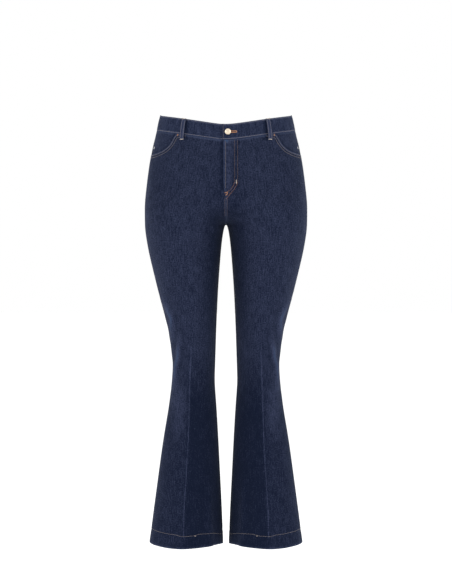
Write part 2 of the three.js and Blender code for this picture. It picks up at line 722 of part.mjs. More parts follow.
for (const [side, hand] of [[1, "left"], [-1, "right"]]) {
  add(`front_${hand}`, panel(side, -1, frontTop(side), flyEdge(side), laps), denim);
  add(`back_${hand}`, panel(side, 1, backTop, plainEdge), denim);
  add(`yoke_${hand}`, yoke(side), denim);
  add(`pocket_inset_${hand}`, pocketInset(side), denim);
  add(`back_pocket_${hand}`, backPocket(side), denim);
  add(`pocket_rivet_${hand}`, rivet(side), nickel);
  add(`belt_loop_front_${hand}`, beltLoop(side, -1, FRONT_LOOP), denim);
  add(`belt_loop_back_${hand}`, beltLoop(side, 1, BACK_LOOP), denim);
}
add("belt_loop_centre_back", beltLoop(1, 1, MIDDLE_LOOP), denim);
add("waistband", cutButtonhole(waistband()), denim);
add("fly_shield", flyStrip(SHIELD, 4, 10), denim);
add("zip_tape", flyStrip(ZIP, 3, 10), tapeCloth);
add("zip_slider", slider(), brass);
add("waist_button", button(), brass);

export default jeans;
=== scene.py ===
"""Flared denim jeans, dressed on their CAD frame: cloth panels, sewing, fastenings and a studio."""

import math
from contextlib import contextmanager

import bmesh
import bpy
import numpy as np
from mathutils import Matrix, Vector
from mathutils.bvhtree import BVHTree
from mathutils.kdtree import KDTree


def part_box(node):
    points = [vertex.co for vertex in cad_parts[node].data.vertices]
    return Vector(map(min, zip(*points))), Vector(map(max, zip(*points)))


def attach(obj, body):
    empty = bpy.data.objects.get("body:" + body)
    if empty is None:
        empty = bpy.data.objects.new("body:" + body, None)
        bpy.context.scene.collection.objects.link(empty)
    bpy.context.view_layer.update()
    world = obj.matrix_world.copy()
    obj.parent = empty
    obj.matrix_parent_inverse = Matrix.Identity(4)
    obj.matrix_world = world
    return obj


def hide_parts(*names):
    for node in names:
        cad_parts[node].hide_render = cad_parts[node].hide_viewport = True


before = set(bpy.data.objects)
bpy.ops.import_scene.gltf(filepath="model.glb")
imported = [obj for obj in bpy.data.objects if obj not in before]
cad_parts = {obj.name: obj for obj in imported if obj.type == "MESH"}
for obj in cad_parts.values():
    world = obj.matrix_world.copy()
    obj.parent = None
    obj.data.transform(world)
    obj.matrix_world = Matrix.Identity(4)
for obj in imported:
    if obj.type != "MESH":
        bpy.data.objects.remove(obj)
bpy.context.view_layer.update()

bl_info = {
    "name": "Flared Jeans",
    "version": (1, 0, 0),
    "blender": (4, 5, 0),
    "location": "3D View > Sidebar > Jeans",
    "description": "Cloth, sewing and fastenings of a pair of flared denim jeans",
    "category": "Object",
}

# The wearer's left is +X and the front faces -Y. Lengths are in metres, and heights are from the waist.
# Across means away from the middle, on either leg.
SIDES = {"left": 1, "right": -1}
# The middle of a leg, across, and the height above which a front's edge is the waistband's seam
LEG_MIDDLE = 0.1
UNDER_BAND = -0.084

# Folds of the leg panels: a line of (across, height), the ridge's height and half width, and how much
# lighter the cloth is on it: a painted highlight along the front's ridges, and a faint lightening along
# the back's
LEG_FOLDS = {
    "front": [
        {"line": [(0.158, -0.445), (0.147, -0.469), (0.1354, -0.496), (0.1360, -0.548)],
         "height": 0.0026, "width": 0.0056, "fade": 0.46},
        {"line": [(0.1140, -0.534), (0.1190, -0.575), (0.1195, -0.590), (0.1262, -0.613),
                  (0.1310, -0.668)],
         "height": 0.0024, "width": 0.0050, "fade": 0.50},
        {"line": [(0.060, -0.268), (0.095, -0.300), (0.140, -0.318)],
         "height": 0.0012, "width": 0.0120, "fade": 0.05},
        {"line": [(0.041, -0.900), (0.041, -0.970), (0.040, -1.060)],
         "height": 0.0022, "width": 0.0070, "fade": 0.12},
        {"line": [(0.130, -0.645), (0.120, -0.690), (0.117, -0.740), (0.120, -0.790)],
         "height": 0.0007, "width": 0.0150, "fade": 0.32},
    ],
    "back": [
        {"line": line, "height": 0.0016, "width": 0.010, "fade": 0.14}
        for line in ([(0.050, -0.585), (0.085, -0.600), (0.120, -0.590)],
                     [(0.055, -0.640), (0.090, -0.650), (0.125, -0.635)],
                     [(0.060, -0.300), (0.100, -0.275), (0.150, -0.268)])
    ],
}
# How folds look on each face: the depth of the trough beside a ridge and its painted shade, how much wider
# than the ridge its lightening is, and how bluntly it ends
FOLD_STYLES = {
    "front": {"trough": 0.45, "shade": 0.2, "worn": 1.3, "blunt": 0.6},
    "back": {"trough": 0.0, "shade": 0.0, "worn": 1.0, "blunt": 0.7},
}
# The pressed crease down each leg, as (across, height), its ridge, the share of its length over which it
# begins, and where it ends above the hem
CREASE_LINE = [(0.085, -0.540), (0.087, -0.590), (0.0892, -0.640), (0.0908, -0.694), (0.0933, -0.795),
               (0.096, -0.842), (0.1002, -0.915), (0.1034, -0.964), (0.105, -1.060)]
CREASE_RIDGE = {"height": 0.0011, "width": 0.006, "begins": 1 / 6.5, "low": -1.0290}

# The turned up hem's lowest line: its height over the depth's shares from the seams to the middle of a
# panel, on the leg's outer and inner half, and how far up the leg is fitted to it
HEM_LINE = {
    "depth": 0.103,
    "over": 0.090,
    "shares": (0.0, 0.37, 0.56, 0.78, 1.0),
    "outer": (-1.0625, -1.0578, -1.0572, -1.0578, -1.0600),
    "inner": (-1.0670, -1.0618, -1.0602, -1.0598, -1.0600),
}
# The cut's own lowest line is found by sectors around the leg, in radians, among points under a height
HEM_SECTOR = 0.12
HEM_HIGHEST = -1.03
# How much the hem's stitching stands above an even distance from the edge
HEM_ROW = {
    "across": (0.012, 0.037, 0.067, 0.080, 0.110, 0.124, 0.165, 0.190),
    "rise": (-0.007, 0.001, 0.003, 0.0, 0.0, 0.0036, 0.0042, 0.0055),
}

# How much lighter or darker parts of the cloth are
TONES = {
    # Painted shade on the legs: inner thighs, inner lower legs, lower legs all round and outer hips
    "inner_thigh_painted_shade": -0.33,
    "inner_shin_painted_shade": -0.20,
    "shin": -0.155,
    "hip": -0.14,
    # A faint painted highlight along the side seam at the hips
    "side_seam": 0.02,
    # A painted shadow beside the fly's lap, and painted shade in the channel between the fly's rows
    "beside_fly": -0.30,
    "fly_channel_painted_shade": -0.12,
    "fly_corner": 0.55,
    # A painted shadow beside the front belt loops
    "beside_loops": -0.42,
    "band_seam": 0.22,
    # A painted shadow on the pocket inset under the mouth's edge
    "pocket_mouth": -0.30,
    "back_pocket": 0.05,
    "belt_loop": 0.30,
    "waistband": -0.02,
    "band_puckers": 0.13,
}
# The line down the middle of a lower leg
LEG_MIDLINE = {"height": (-1.06, -0.85, -0.60, -0.50), "across": (0.105, 0.097, 0.088, 0.080)}
# The fly's wear and painted shade: the middles of its worn lap and of the painted shade in the channel
# between its rows, its roping's pitch, the top corner of its edge, and its low end
FLY_WEAR_AND_SHADE = {"lap": 0.0065, "channel": 0.0245, "roping": 0.0137, "corner": (0.0005, -0.0600),
            "low": -0.190}
# The fly's two rows of stitching, as (across, height), and where their straight part ends and their
# curve begins. The rows beside the fly's edge and the crotch seam run straight down: across, top, low end.
FLY_ROWS = (
    [(0.0209, -0.0580), (0.0209, -0.1100), (0.0208, -0.1580), (0.0200, -0.1652), (0.0181, -0.1710),
     (0.0136, -0.1786), (0.0075, -0.1839), (0.0030, -0.1868)],
    [(0.0279, -0.0570), (0.0281, -0.1100), (0.0281, -0.1580), (0.0273, -0.1652), (0.0241, -0.1727),
     (0.0183, -0.1817), (0.0107, -0.1907), (0.0040, -0.1985), (-0.0012, -0.2055)],
)
FLY_CURVE = (-0.164, -0.162)
FLY_EDGE = (-0.0013, -0.060, -0.178)
CROTCH_SEAM = (0.0027, -0.200, -0.243)

# Distances of the rows of stitching from the edges and seams that they follow
ROWS = {
    "waistband": 0.0024,
    "mouth": (0.0044, 0.0104),
    "yoke": (0.0022, 0.0085),
    "seat": (0.0024, 0.0088),
    "pocket_top": (0.0016, 0.0125),
    "pocket": (0.0018, 0.0078),
    "loop": 0.0022,
}
# The centre back seam on the yoke and the leg back: its top, its low end and how many places on it
SEAT_SEAM = {"leg_back_left": (-0.100, -0.245, 50), "yoke_cloth_left": (-0.027, -0.092, 24)}

# The close stitches of a bartack lie across its line. Single bars: the place (across, height), the way
# that the bar runs, and its length.
BAR = {"pitch": 0.00062, "thread": 0.0006, "across": True}
UPRIGHT = (0, 0, 1.0)
MOUTH_BAR = (0.1188, -0.0415, UPRIGHT, 0.0085)
HEM_START = (0.0758, -1.0300, (1.0, 0, 0.15), 0.0045)
FLY_BAR = (0.0250, -0.1618, UPRIGHT, 0.0095)
FLY_END_BARS = ((0.0006, -0.1880, (1.0, 0, 0.16), 0.0082), (0.0012, -0.1928, (0.74, 0, 0.66), 0.0085))

# The waistband's rows of faces, as shares of its depth, its depth, the length of its lap, and the
# buttonhole: the rows and the stretch across that its slit takes, and the end and reach of its stitching
BAND_ROWS = (0.0, 0.045, 0.10, 0.18, 0.28, 0.38, 0.46, 0.485, 0.515, 0.54, 0.62, 0.72, 0.82, 0.90, 0.955,
             1.0)
BAND_DEPTH = 0.039
LAP_LENGTH = 0.045
BUTTONHOLE = {"rows": (0.48, 0.52), "slit": (0.004, 0.022), "end": 0.0245, "reach": 0.0018}

# Walls of the pieces that aren't one layer of denim
WALLS = {"waistband": 0.0023, "loop": 0.0015, "shield": 0.0013, "tape": 0.0011}
# The border of a cloth piece, how far it is drawn in and over what distance, and how far its edge moves
# out to meet the next piece's
BORDER = {"ring": 0.0016, "press": 0.0006, "round": 0.0011, "meet": 0.00022}

# The button's head, as (share of its radius, height over the head's foot), and its shank
BUTTON_HEAD = ((0.72, 0.0002), (0.95, 0.0006), (1.0, 0.0012), (0.99, 0.0019), (0.94, 0.0026),
               (0.86, 0.0029), (0.78, 0.0027), (0.72, 0.0022), (0.62, 0.0022), (0.50, 0.0026),
               (0.34, 0.0030), (0.16, 0.0032), (0.03, 0.0032))
SHANK_RADIUS = 0.0021
# A rivet, as shares of its radius and its height
RIVET = ((1.0, 0.0), (1.0, 0.35), (0.93, 0.62), (0.80, 0.72), (0.62, 0.62), (0.40, 0.66), (0.30, 0.95),
         (0.12, 1.0), (0.02, 1.0))
RIVET_SHARE = 0.86
# A zip tooth's size and rounding, the teeth's pitch, how far they stand to either side and out of the
# tape, and how far above its low end they begin
TOOTH = {"size": (0.0038, 0.0011, 0.0011), "bevel": 0.0003, "pitch": 0.0016, "shift": 0.0009,
         "lift": 0.0004, "first": 0.006}

SKINS = {}
FINISHES = {}


def colour_of(name, description, default):
    return bpy.props.FloatVectorProperty(name=name, description=description, subtype="COLOR",
                                         default=default, min=0.0, max=1.0)


def length_of(name, description, default, least, most):
    return bpy.props.FloatProperty(name=name, description=description, unit="LENGTH",
                                   default=default, min=least, max=most)


class DenimSettings(bpy.types.PropertyGroup):
    indigo: colour_of("Indigo", "Colour of the dyed warp", (0.0040, 0.0072, 0.0200))
    faded: colour_of("Faded indigo", "Colour where the cloth is worn", (0.0375, 0.0465, 0.0900))
    # The rubbed colour also stands for the painted highlights on the knees' folds
    rubbed_and_highlight: colour_of("Rubbed indigo", "Colour on sharp folds and edges", (0.026, 0.060, 0.130))
    weft: colour_of("Weft", "Colour of the inside of the cloth", (0.075, 0.095, 0.145))
    thickness: length_of("Thickness", "Thickness of one layer of denim", 0.00115, 0.0005, 0.003)
    hem_depth: length_of("Hem depth", "Height of the turned up hem", 0.031, 0.01, 0.08)


class SewingSettings(bpy.types.PropertyGroup):
    pitch: length_of("Stitch pitch", "Distance from stitch to stitch", 0.0032, 0.001, 0.01)
    length: length_of("Stitch length", "Length of one stitch that shows", 0.0026, 0.001, 0.01)
    thread: length_of("Thread", "Thickness of the sewing thread", 0.00085, 0.0002, 0.002)
    tan: colour_of("Topstitch colour", "Colour of most topstitching", (0.190, 0.162, 0.155))
    rust: colour_of("Fly thread colour", "Colour of the fly's stitching", (0.088, 0.050, 0.038))
    pale: colour_of("Pale thread colour", "Colour of the loops' bars", (0.70, 0.61, 0.53))
    copper: colour_of("Bartack colour", "Colour of the bartacks and the buttonhole",
                      (0.32, 0.145, 0.070))


class MetalSettings(bpy.types.PropertyGroup):
    brass: colour_of("Pale brass", "Colour of the button and the zip", (0.84, 0.72, 0.56))
    nickel: colour_of("Nickel", "Colour of the rivets", (0.52, 0.53, 0.56))
    button_radius: length_of("Button radius", "Radius of the waist button", 0.0076, 0.004, 0.015)


class StudioSettings(bpy.types.PropertyGroup):
    lens: bpy.props.FloatProperty(
        name="Lens", description="Focal length of the camera in millimetres", default=72.8,
        min=20.0, max=200.0)
    distance: length_of("Distance", "Distance from the camera to the middle of the garment",
                        3.0, 1.0, 10.0)
    height: length_of("Camera height", "Height of the level camera from the waist", -0.429, -2.0, 1.0)
    floor_drop: length_of("Floor", "Depth of the floor under the waist", 1.6, 1.08, 3.0)


# Selection and mesh handling


def choose(obj):
    """Only obj is selected and active."""
    bpy.ops.object.select_all(action="DESELECT")
    obj.select_set(True)
    bpy.context.view_layer.objects.active = obj


def linked(name, data):
    """A new object of the scene."""
    obj = bpy.data.objects.new(name, data)
    bpy.context.scene.collection.objects.link(obj)
    return obj


def primitive(add, name, **settings):
    """A new primitive that the operator adds, alone selected."""
    bpy.ops.object.select_all(action="DESELECT")
    add(**settings)
    piece = bpy.context.active_object
    piece.name = piece.data.name = name
    return piece


@contextmanager
def editing(obj):
    """Edit mode on obj, with all its faces selected at the start."""
    choose(obj)
    bpy.ops.object.mode_set(mode="EDIT")
    bpy.ops.mesh.select_mode(type="FACE")
    bpy.ops.mesh.select_all(action="SELECT")
    yield
    bpy.ops.object.mode_set(mode="OBJECT")


def add_modifier(obj, kind, **settings):
    """Adds a modifier with its settings and applies it."""
    choose(obj)
    modifier = obj.modifiers.new(kind.title(), kind)
    for name, value in settings.items():
        setattr(modifier, name, value)
    bpy.ops.object.modifier_apply(modifier=modifier.name)


def shade_smooth(obj, degrees):
    choose(obj)
    bpy.ops.object.shade_smooth_by_angle(angle=math.radians(degrees))


def rows_of(items, key, width=3):
    flat = np.empty(len(items) * width)
    items.foreach_get(key, flat)
    return flat.reshape(-1, width)


def points_of(mesh):
    return rows_of(mesh.vertices, "co")


def normals_of(mesh):
    mesh.update()
    return rows_of(mesh.vertex_normals, "vector")


def put_points(mesh, points):
    mesh.vertices.foreach_set("co", np.asarray(points, dtype=float).ravel())
    mesh.update()


def write_attributes(mesh, **attributes):
    for name, values in attributes.items():
        layer = mesh.attributes.new(name, "FLOAT", "POINT")
        layer.data.foreach_set("value", np.asarray(values, dtype=float))


def unit(vector):
    return vector / (np.linalg.norm(vector) + 1e-12)


def smooth(share):
    t = np.clip(share, 0.0, 1.0)
    return t * t * (3 - 2 * t)


def step(value, start, over):
    """0 up to the start and 1 past it, rising over a distance."""
    return smooth((value - start) / over)


def bell(away, width, power=2):
    """1 in the middle, falling to nothing over about twice the width."""
    return np.exp(-((away / width) ** power))


def travelled(line):
    """How long a line is up to each of its points."""
    return np.concatenate([[0.0], np.cumsum(np.linalg.norm(np.diff(line, axis=0), axis=1))])


def line_distance(places, line):
    """Distance of each 2-D place from a polyline, and its share along it."""
    line = np.asarray(line, dtype=float)
    gone = travelled(line)
    best = np.full(len(places), np.inf)
    share = np.zeros(len(places))
    for a, b, before, after in zip(line[:-1], line[1:], gone[:-1], gone[1:]):
        t = np.clip(((places - a) @ (b - a)) / (after - before) ** 2, 0, 1)
        away = np.linalg.norm(places - (a + t[:, None] * (b - a)), axis=1)
        nearer = away < best
        best[nearer] = away[nearer]
        share[nearer] = (before + t[nearer] * (after - before)) / gone[-1]
    return best, share


def catmull(points, places):
    """A smooth line through points, at places numbered along them."""
    last = len(points) - 1
    out = []
    for place in places:
        i = int(min(max(math.floor(place), 0), last - 1))
        t = place - i
        p0, p1, p2, p3 = (points[min(max(i + k, 0), last)] for k in (-1, 0, 1, 2))
        out.append(0.5 * (2 * p1 + (p2 - p0) * t + (2 * p0 - 5 * p1 + 4 * p2 - p3) * t ** 2
                          + (3 * p1 - p0 - 3 * p2 + p3) * t ** 3))
    return np.array(out)


def edge_loops(mesh):
    """The open edges of a mesh as ordered lists of vertex numbers, the longest first."""
    uses = np.bincount([loop.edge_index for loop in mesh.loops], minlength=len(mesh.edges))
    beside = {}
    for number in np.flatnonzero(uses == 1):
        a, b = mesh.edges[number].vertices
        beside.setdefault(a, []).append(b)
        beside.setdefault(b, []).append(a)
    loops = []
    while beside:
        start = next(iter(beside))
        loop = [start]
        last, here = None, start
        while True:
            onward = [v for v in beside[here] if v != last]
            if not onward or onward[0] == start:
                break
            last, here = here, onward[0]
            loop.append(here)
            if len(loop) > len(mesh.vertices):
                raise RuntimeError("a cloth edge doesn't close")
        for vertex in loop:
            beside.pop(vertex, None)
        loops.append(loop)
    return sorted(loops, key=len, reverse=True)


def edge_tree(points, loops):
    """A search tree of the open edges, with points between their corners."""
    dense = []
    for loop in loops:
        ring = points[loop]
        after = np.roll(ring, -1, axis=0)
        for share in np.linspace(0, 1, 6, endpoint=False):
            dense.extend(ring + (after - ring) * share)
    tree = KDTree(len(dense))
    for number, place in enumerate(dense):
        tree.insert(Vector(place), number)
    tree.balance()
    return tree


def tree_distances(tree, points):
    return np.array([tree.find(Vector(p))[2] for p in points])


class Skin:
    """The outside of a cloth piece, for what is sewn on it: its points, normals, edges and corners. Lines
    on it are followed in steps, and end where a step would leave the cloth."""

    INWARD_STEP, ONWARD_STEP, LEAST_STEP = 0.0025, 0.0014, 0.0009
    REACH = 0.022
    OFF_INSIDE, OFF_ONWARD = 0.0007, 0.0005

    def __init__(self, obj, corners):
        mesh = obj.data
        self.points = points_of(mesh)
        self.normals = normals_of(mesh)
        faces = [tuple(p.vertices) for p in mesh.polygons]
        self.tree = BVHTree.FromPolygons([Vector(p) for p in self.points], faces)
        self.loops = edge_loops(mesh)
        self.loop = self.loops[0]
        self.inner = {v: [] for v in self.loop}
        rim = set(v for loop in self.loops for v in loop)
        for edge in mesh.edges:
            ends = tuple(edge.vertices)
            for a, b in (ends, ends[::-1]):
                if a in self.inner and b not in rim:
                    self.inner[a].append(b)
        self.sides = self.split(corners)

    def split(self, corners):
        """The edge in stretches from corner to corner."""
        ring = self.points[self.loop]
        found = sorted({int(np.argmin(np.linalg.norm(ring - c, axis=1))) for c in np.asarray(corners)})
        return [[self.loop[i % len(self.loop)] for i in range(a, b + 1)]
                for a, b in zip(found, found[1:] + [found[0] + len(self.loop)])]

    def side(self, score):
        """The stretch whose points have the greatest mean score."""
        return max(self.sides, key=lambda s: float(np.mean([score(self.points[v]) for v in s])))

    def long_sides(self):
        """The two longest stretches, the higher one first."""
        longest = sorted(self.sides, key=lambda s: travelled(self.points[s])[-1], reverse=True)[:2]
        return sorted(longest, key=lambda s: -float(np.mean(self.points[s][:, 2])))

    def snap(self, place):
        spot, normal, _, away = self.tree.find_nearest(Vector(place))
        return np.array(spot), np.array(normal), away

    def inside(self, stretch, distance):
        """A line on the cloth at a distance inside a stretch of its edge."""
        chain = self.points[stretch]
        steps = max(1, math.ceil(distance / self.INWARD_STEP))
        line = []
        for vertex, place, run in zip(stretch, chain, np.gradient(chain, axis=0)):
            inner = self.inner.get(vertex)
            if not inner:
                continue
            spot, normal = place, self.normals[vertex]
            across = unit(np.cross(normal, run))
            across *= math.copysign(1.0, float(across @ (np.mean(self.points[inner], axis=0) - place)))
            for _ in range(steps):
                spot, normal, away = self.snap(spot + across * distance / steps)
                across = unit(across - normal * (across @ normal))
                if away > self.OFF_INSIDE:
                    break
            else:
                line.append((spot, normal))
        return line

    def extended(self, line):
        """The line run on along the cloth at both ends, up to its edge."""
        for _ in range(2):
            line = line[::-1]
            if len(line) < 4:
                return line
            step = unit(line[-1][0] - line[-4][0]) * self.ONWARD_STEP
            gone = 0.0
            while gone < self.REACH:
                spot, normal, away = self.snap(line[-1][0] + step)
                moved = spot - line[-1][0]
                if away > self.OFF_ONWARD or np.linalg.norm(moved) < self.LEAST_STEP:
                    break
                line = line + [(spot, normal)]
                step = unit(moved) * self.ONWARD_STEP
                gone += self.ONWARD_STEP
        return line

    def seen_from(self, places, direction=1.0):
        """Where sight lines through places (x, height) meet the cloth, from the front or with -1 from
        behind."""
        line = []
        for x, z in places:
            spot, normal, _, _ = self.tree.ray_cast(Vector((x, -direction, z)), Vector((0, direction, 0)))
            if spot is not None:
                line.append((np.array(spot), np.array(normal)))
        return line


# Shading


class Amount:
    """A number that changes over a surface. Sums of them add Math nodes."""

    def __init__(self, finish, socket):
        self.finish = finish
        self.socket = socket

    def reckon(self, operation, *values):
        return self.finish.node("ShaderNodeMath", {"operation": operation}, dict(enumerate(values)))

    def __add__(self, other):
        return self.reckon("ADD", self, other)

    __radd__ = __add__

    def __sub__(self, other):
        return self.reckon("SUBTRACT", self, other)

    def __rsub__(self, other):
        return self.reckon("SUBTRACT", other, self)

    def __mul__(self, other):
        return self.reckon("MULTIPLY", self, other)

    __rmul__ = __mul__

    def __abs__(self):
        return self.reckon("ABSOLUTE", self)

    def clipped(self):
        return self.reckon("MAXIMUM", self.reckon("MINIMUM", self, 1.0), 0.0)


class Finish:
    """A material of a surface shader and the nodes that feed it."""

    def __init__(self, name, **uniform):
        self.material = bpy.data.materials.new(name)
        self.material.use_nodes = True
        self.tree = self.material.node_tree
        self.tree.nodes.clear()
        output = self.tree.nodes.new("ShaderNodeOutputMaterial")
        self.shader = self.tree.nodes.new("ShaderNodeBsdfPrincipled")
        self.tree.links.new(self.shader.outputs[0], output.inputs["Surface"])
        self.surface(**uniform)

    def node(self, kind, settings, inputs, output=0):
        """Adds a node of a kind, with its settings and then its inputs, and gives one of its outputs."""
        node = self.tree.nodes.new(kind)
        for name, value in settings.items():
            setattr(node, name, value)
        for name, value in inputs.items():
            self.feed(node.inputs[name], value)
        return Amount(self, node.outputs[output])

    def feed(self, socket, value):
        if isinstance(value, Amount):
            self.tree.links.new(value.socket, socket)
        else:
            socket.default_value = value

    def surface(self, **fed):
        for socket, value in fed.items():
            self.feed(self.shader.inputs[socket.replace("_", " ")], value)
        return self.material

    def noise(self, vector, scale, detail=2.0, roughness=0.5):
        return self.node("ShaderNodeTexNoise", {}, {
            "Vector": vector, "Scale": scale, "Detail": detail, "Roughness": roughness}, "Fac")

    def cut(self):
        """Places on the flat cut, in metres."""
        return self.node("ShaderNodeUVMap", {"uv_map": "cut"}, {})

    def spot(self):
        return self.node("ShaderNodeTexCoord", {}, {}, "Object")

    def scaled(self, vector, across, along):
        return self.node("ShaderNodeMapping", {}, {"Vector": vector, "Scale": (across, along, 1.0)})

    def grain(self, cut, across, along, detail=2.0, roughness=0.5):
        """Noise on the cut, of so many spots a metre across the warp and along it."""
        return self.noise(self.scaled(cut, across, along), 1.0, detail, roughness)

    def attribute(self, name):
        return self.node("ShaderNodeAttribute", {"attribute_name": name}, {}, "Fac")

    def stretched(self, amount, low, high):
        """The amount, run from 0 at low to 1 at high."""
        return self.node("ShaderNodeMapRange", {"clamp": True}, {
            "Value": amount, "From Min": low, "From Max": high, "To Min": 0.0, "To Max": 1.0})

    def blend(self, share, a, b):
        """Colour a where share is 0 and b where it is 1."""
        return self.node("ShaderNodeMix", {"data_type": "RGBA"}, {0: share, 6: a, 7: b}, 2)

    def bump(self, height, distance):
        return self.node("ShaderNodeBump", {}, {
            "Height": height, "Distance": distance, "Strength": 1.0}, "Normal")


def colour(value, gain=1.0):
    return tuple(min(1.0, c * gain) for c in value) + (1.0,)


def denim(name, settings, gain=1.0, seam_wear=0.5):
    """Dyed denim: warp streaks and a fine twill on the cut's own map, worn at its seams and pressed
    creases, with painted shade in its seams' cracks and the painted highlights and painted shade that each
    piece carries.
    """
    finish = Finish(name, Roughness=0.92, Sheen_Weight=0.05, Sheen_Roughness=0.45,
                    Sheen_Tint=(0.55, 0.66, 1.0, 1.0), Specular_IOR_Level=0.06)
    cut = finish.cut()
    fine = finish.grain(cut, 1250.0, 90.0)
    slub = finish.grain(cut, 330.0, 42.0, roughness=0.6)
    grain = finish.grain(cut, 400.0, 330.0, roughness=0.6)
    mottle = finish.grain(cut, 40.0, 28.0, 3.0, 0.6)
    rough_edge = finish.grain(cut, 420.0, 420.0)
    pucker = finish.grain(cut, 190.0, 190.0, 1.0)
    twill = finish.node("ShaderNodeTexWave", {"wave_type": "BANDS", "bands_direction": "DIAGONAL"}, {
        "Vector": finish.scaled(cut, 1.0, 0.62), "Scale": 520.0, "Distortion": 1.2,
        "Detail": 1.0, "Detail Scale": 1.5}, "Fac")
    seam, fade = finish.attribute("seam"), finish.attribute("fade")
    crease, sharp = abs(finish.attribute("crease")), finish.attribute("sharp")
    streak = fine * 0.50 + slub * 0.50 + grain * 0.95 - 0.775
    worn = (streak - 0.20) * 1.80 + (mottle - 0.5) * 0.40 + twill * 0.08 + 0.26
    pressed = (1.0 - finish.stretched(crease, 0.0004, 0.0020)) * sharp * (0.30 + slub * 0.28)
    edge = (1.0 - finish.stretched(seam, 0.0008, 0.0052)) * (0.35 + rough_edge) * seam_wear
    # Painted shade in the narrow crack along each piece's edge, within 0.8 mm of it
    seam_crack_painted_shade = 1.0 - finish.stretched(seam, 0.0, 0.0008)
    near = 1.0 - finish.stretched(seam, 0.002, 0.011)
    # How faded the cloth looks: warp streaks, seam wear and pressed creases, with the painted highlights
    # and painted shade that each piece carries
    share = (worn + edge + fade + pressed).clipped()
    # Towards the rubbed colour where the seams are worn, at the fly's worn lap and corner, and along the
    # knees' folds, where it is a painted highlight
    bright = (finish.stretched(fade, 0.31, 0.60) * 0.55 + edge * 0.22).clipped()
    tone = finish.blend(share, colour(settings.indigo, gain), colour(settings.faded, gain))
    tone = finish.blend(bright, tone, colour(settings.rubbed_and_highlight, gain))
    tone = finish.blend(seam_crack_painted_shade * 0.6, tone, colour(settings.indigo, 0.45 * gain))
    relief = twill * 0.5 + fine * 0.8 + slub * 0.9 + grain * 0.5
    return finish.surface(Base_Color=tone, Roughness=0.97 - share * 0.12,
                          Normal=finish.bump(relief + pucker * near * 5.0, 0.00022))


def denim_inside(name, settings):
    """The cloth's wrong side, where the pale weft shows between the dyed warp."""
    finish = Finish(name, Roughness=0.95, Sheen_Weight=0.08, Specular_IOR_Level=0.12)
    cut = finish.cut()
    fine = finish.grain(cut, 900.0, 120.0)
    mottle = finish.grain(cut, 70.0, 40.0, 3.0)
    share = (fine * 0.8 + mottle * 0.5 - 0.15).clipped()
    tone = finish.blend(share, colour(settings.weft, 0.45), colour(settings.weft, 1.25))
    return finish.surface(Base_Color=tone, Roughness=0.98 - mottle * 0.1,
                          Normal=finish.bump(fine, 0.0002))


def plain_cloth(name, tint):
    """Close woven cotton, for the zip's tape."""
    finish = Finish(name, Roughness=0.9, Sheen_Weight=0.15, Specular_IOR_Level=0.2)
    cut = finish.cut()
    weave = finish.node("ShaderNodeTexWave", {"bands_direction": "X"}, {
        "Vector": cut, "Scale": 420.0, "Distortion": 1.0}, "Fac")
    mottle = finish.grain(cut, 300.0, 60.0, 3.0)
    share = (weave * 0.4 + mottle * 0.6).clipped()
    return finish.surface(Base_Color=finish.blend(share, colour(tint, 0.7), colour(tint, 1.3)),
                          Roughness=0.95 - mottle * 0.15, Normal=finish.bump(weave + mottle, 0.0001))


def thread_finish(name, tint):
    """Twisted cotton-wrapped thread, in lighter and darker stretches."""
    finish = Finish(name, Roughness=0.6, Sheen_Weight=0.2, Specular_IOR_Level=0.3)
    spot = finish.spot()
    twist = finish.noise(spot, 2600.0)
    share = (twist * 0.5 + finish.noise(spot, 85.0) * 0.7 - 0.1).clipped()
    return finish.surface(Base_Color=finish.blend(share, colour(tint, 0.55), colour(tint, 1.35)),
                          Roughness=0.7 - twist * 0.2, Normal=finish.bump(twist, 0.0001))


def metal_finish(name, tint, dull=0.28):
    """Plated metal, with brushed marks and a little tarnish."""
    finish = Finish(name, Metallic=1.0, Roughness=dull)
    spot = finish.spot()
    marks = finish.noise(spot, 900.0, 3.0)
    share = finish.stretched(finish.noise(spot, 160.0, 3.0, 0.6), 0.35, 0.75)
    return finish.surface(Base_Color=finish.blend(share, colour(tint, 1.08), colour(tint, 0.74)),
                          Roughness=dull - 0.08 + marks * 0.2, Normal=finish.bump(marks, 0.00004))


def floor_finish(name):
    finish = Finish(name, Roughness=0.9, Specular_IOR_Level=0.1, Emission_Strength=0.16,
                    Emission_Color=(1.0, 1.0, 1.0, 1.0))
    grain = finish.noise(finish.spot(), 3.0)
    return finish.surface(Base_Color=finish.blend(grain, colour((0.95,) * 3), colour((0.97,) * 3)))


def finish_for(name):
    """The material of that name, made once."""
    if name not in FINISHES:
        scene = bpy.context.scene
        cloth, sewing, metal = scene.jeans_denim, scene.jeans_sewing, scene.jeans_metal
        threads = {f"thread_{dye}": lambda dye=dye: thread_finish(name, getattr(sewing, dye))
                   for dye in ("tan", "rust", "pale", "copper")}
        makers = {
            "denim": lambda: denim(name, cloth),
            "denim_band": lambda: denim(name, cloth, 1.12, 0.7),
            "denim_hidden": lambda: denim(name, cloth, 0.9, 0.2),
            "denim_inside": lambda: denim_inside(name, cloth),
            "tape_cloth": lambda: plain_cloth(name, (0.011, 0.014, 0.028)),
            "brass": lambda: metal_finish(name, metal.brass),
            "nickel": lambda: metal_finish(name, metal.nickel, 0.32),
            "floor": lambda: floor_finish(name),
            **threads,
        }
        FINISHES[name] = makers[name]()
    return FINISHES[name]


def dress(obj, *finishes):
    """Gives the piece its finishes. A cloth's second one is its inside."""
    while len(obj.data.materials) < len(finishes):
        obj.data.materials.append(None)
    for place, finish in enumerate(finishes):
        obj.data.materials[place] = finish_for(finish)


def settle(piece, finishes, node=None):
    """A finished piece: its finishes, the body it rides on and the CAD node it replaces."""
    dress(piece, *finishes)
    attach(piece, "root")
    if node:
        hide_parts(node)


# Cloth


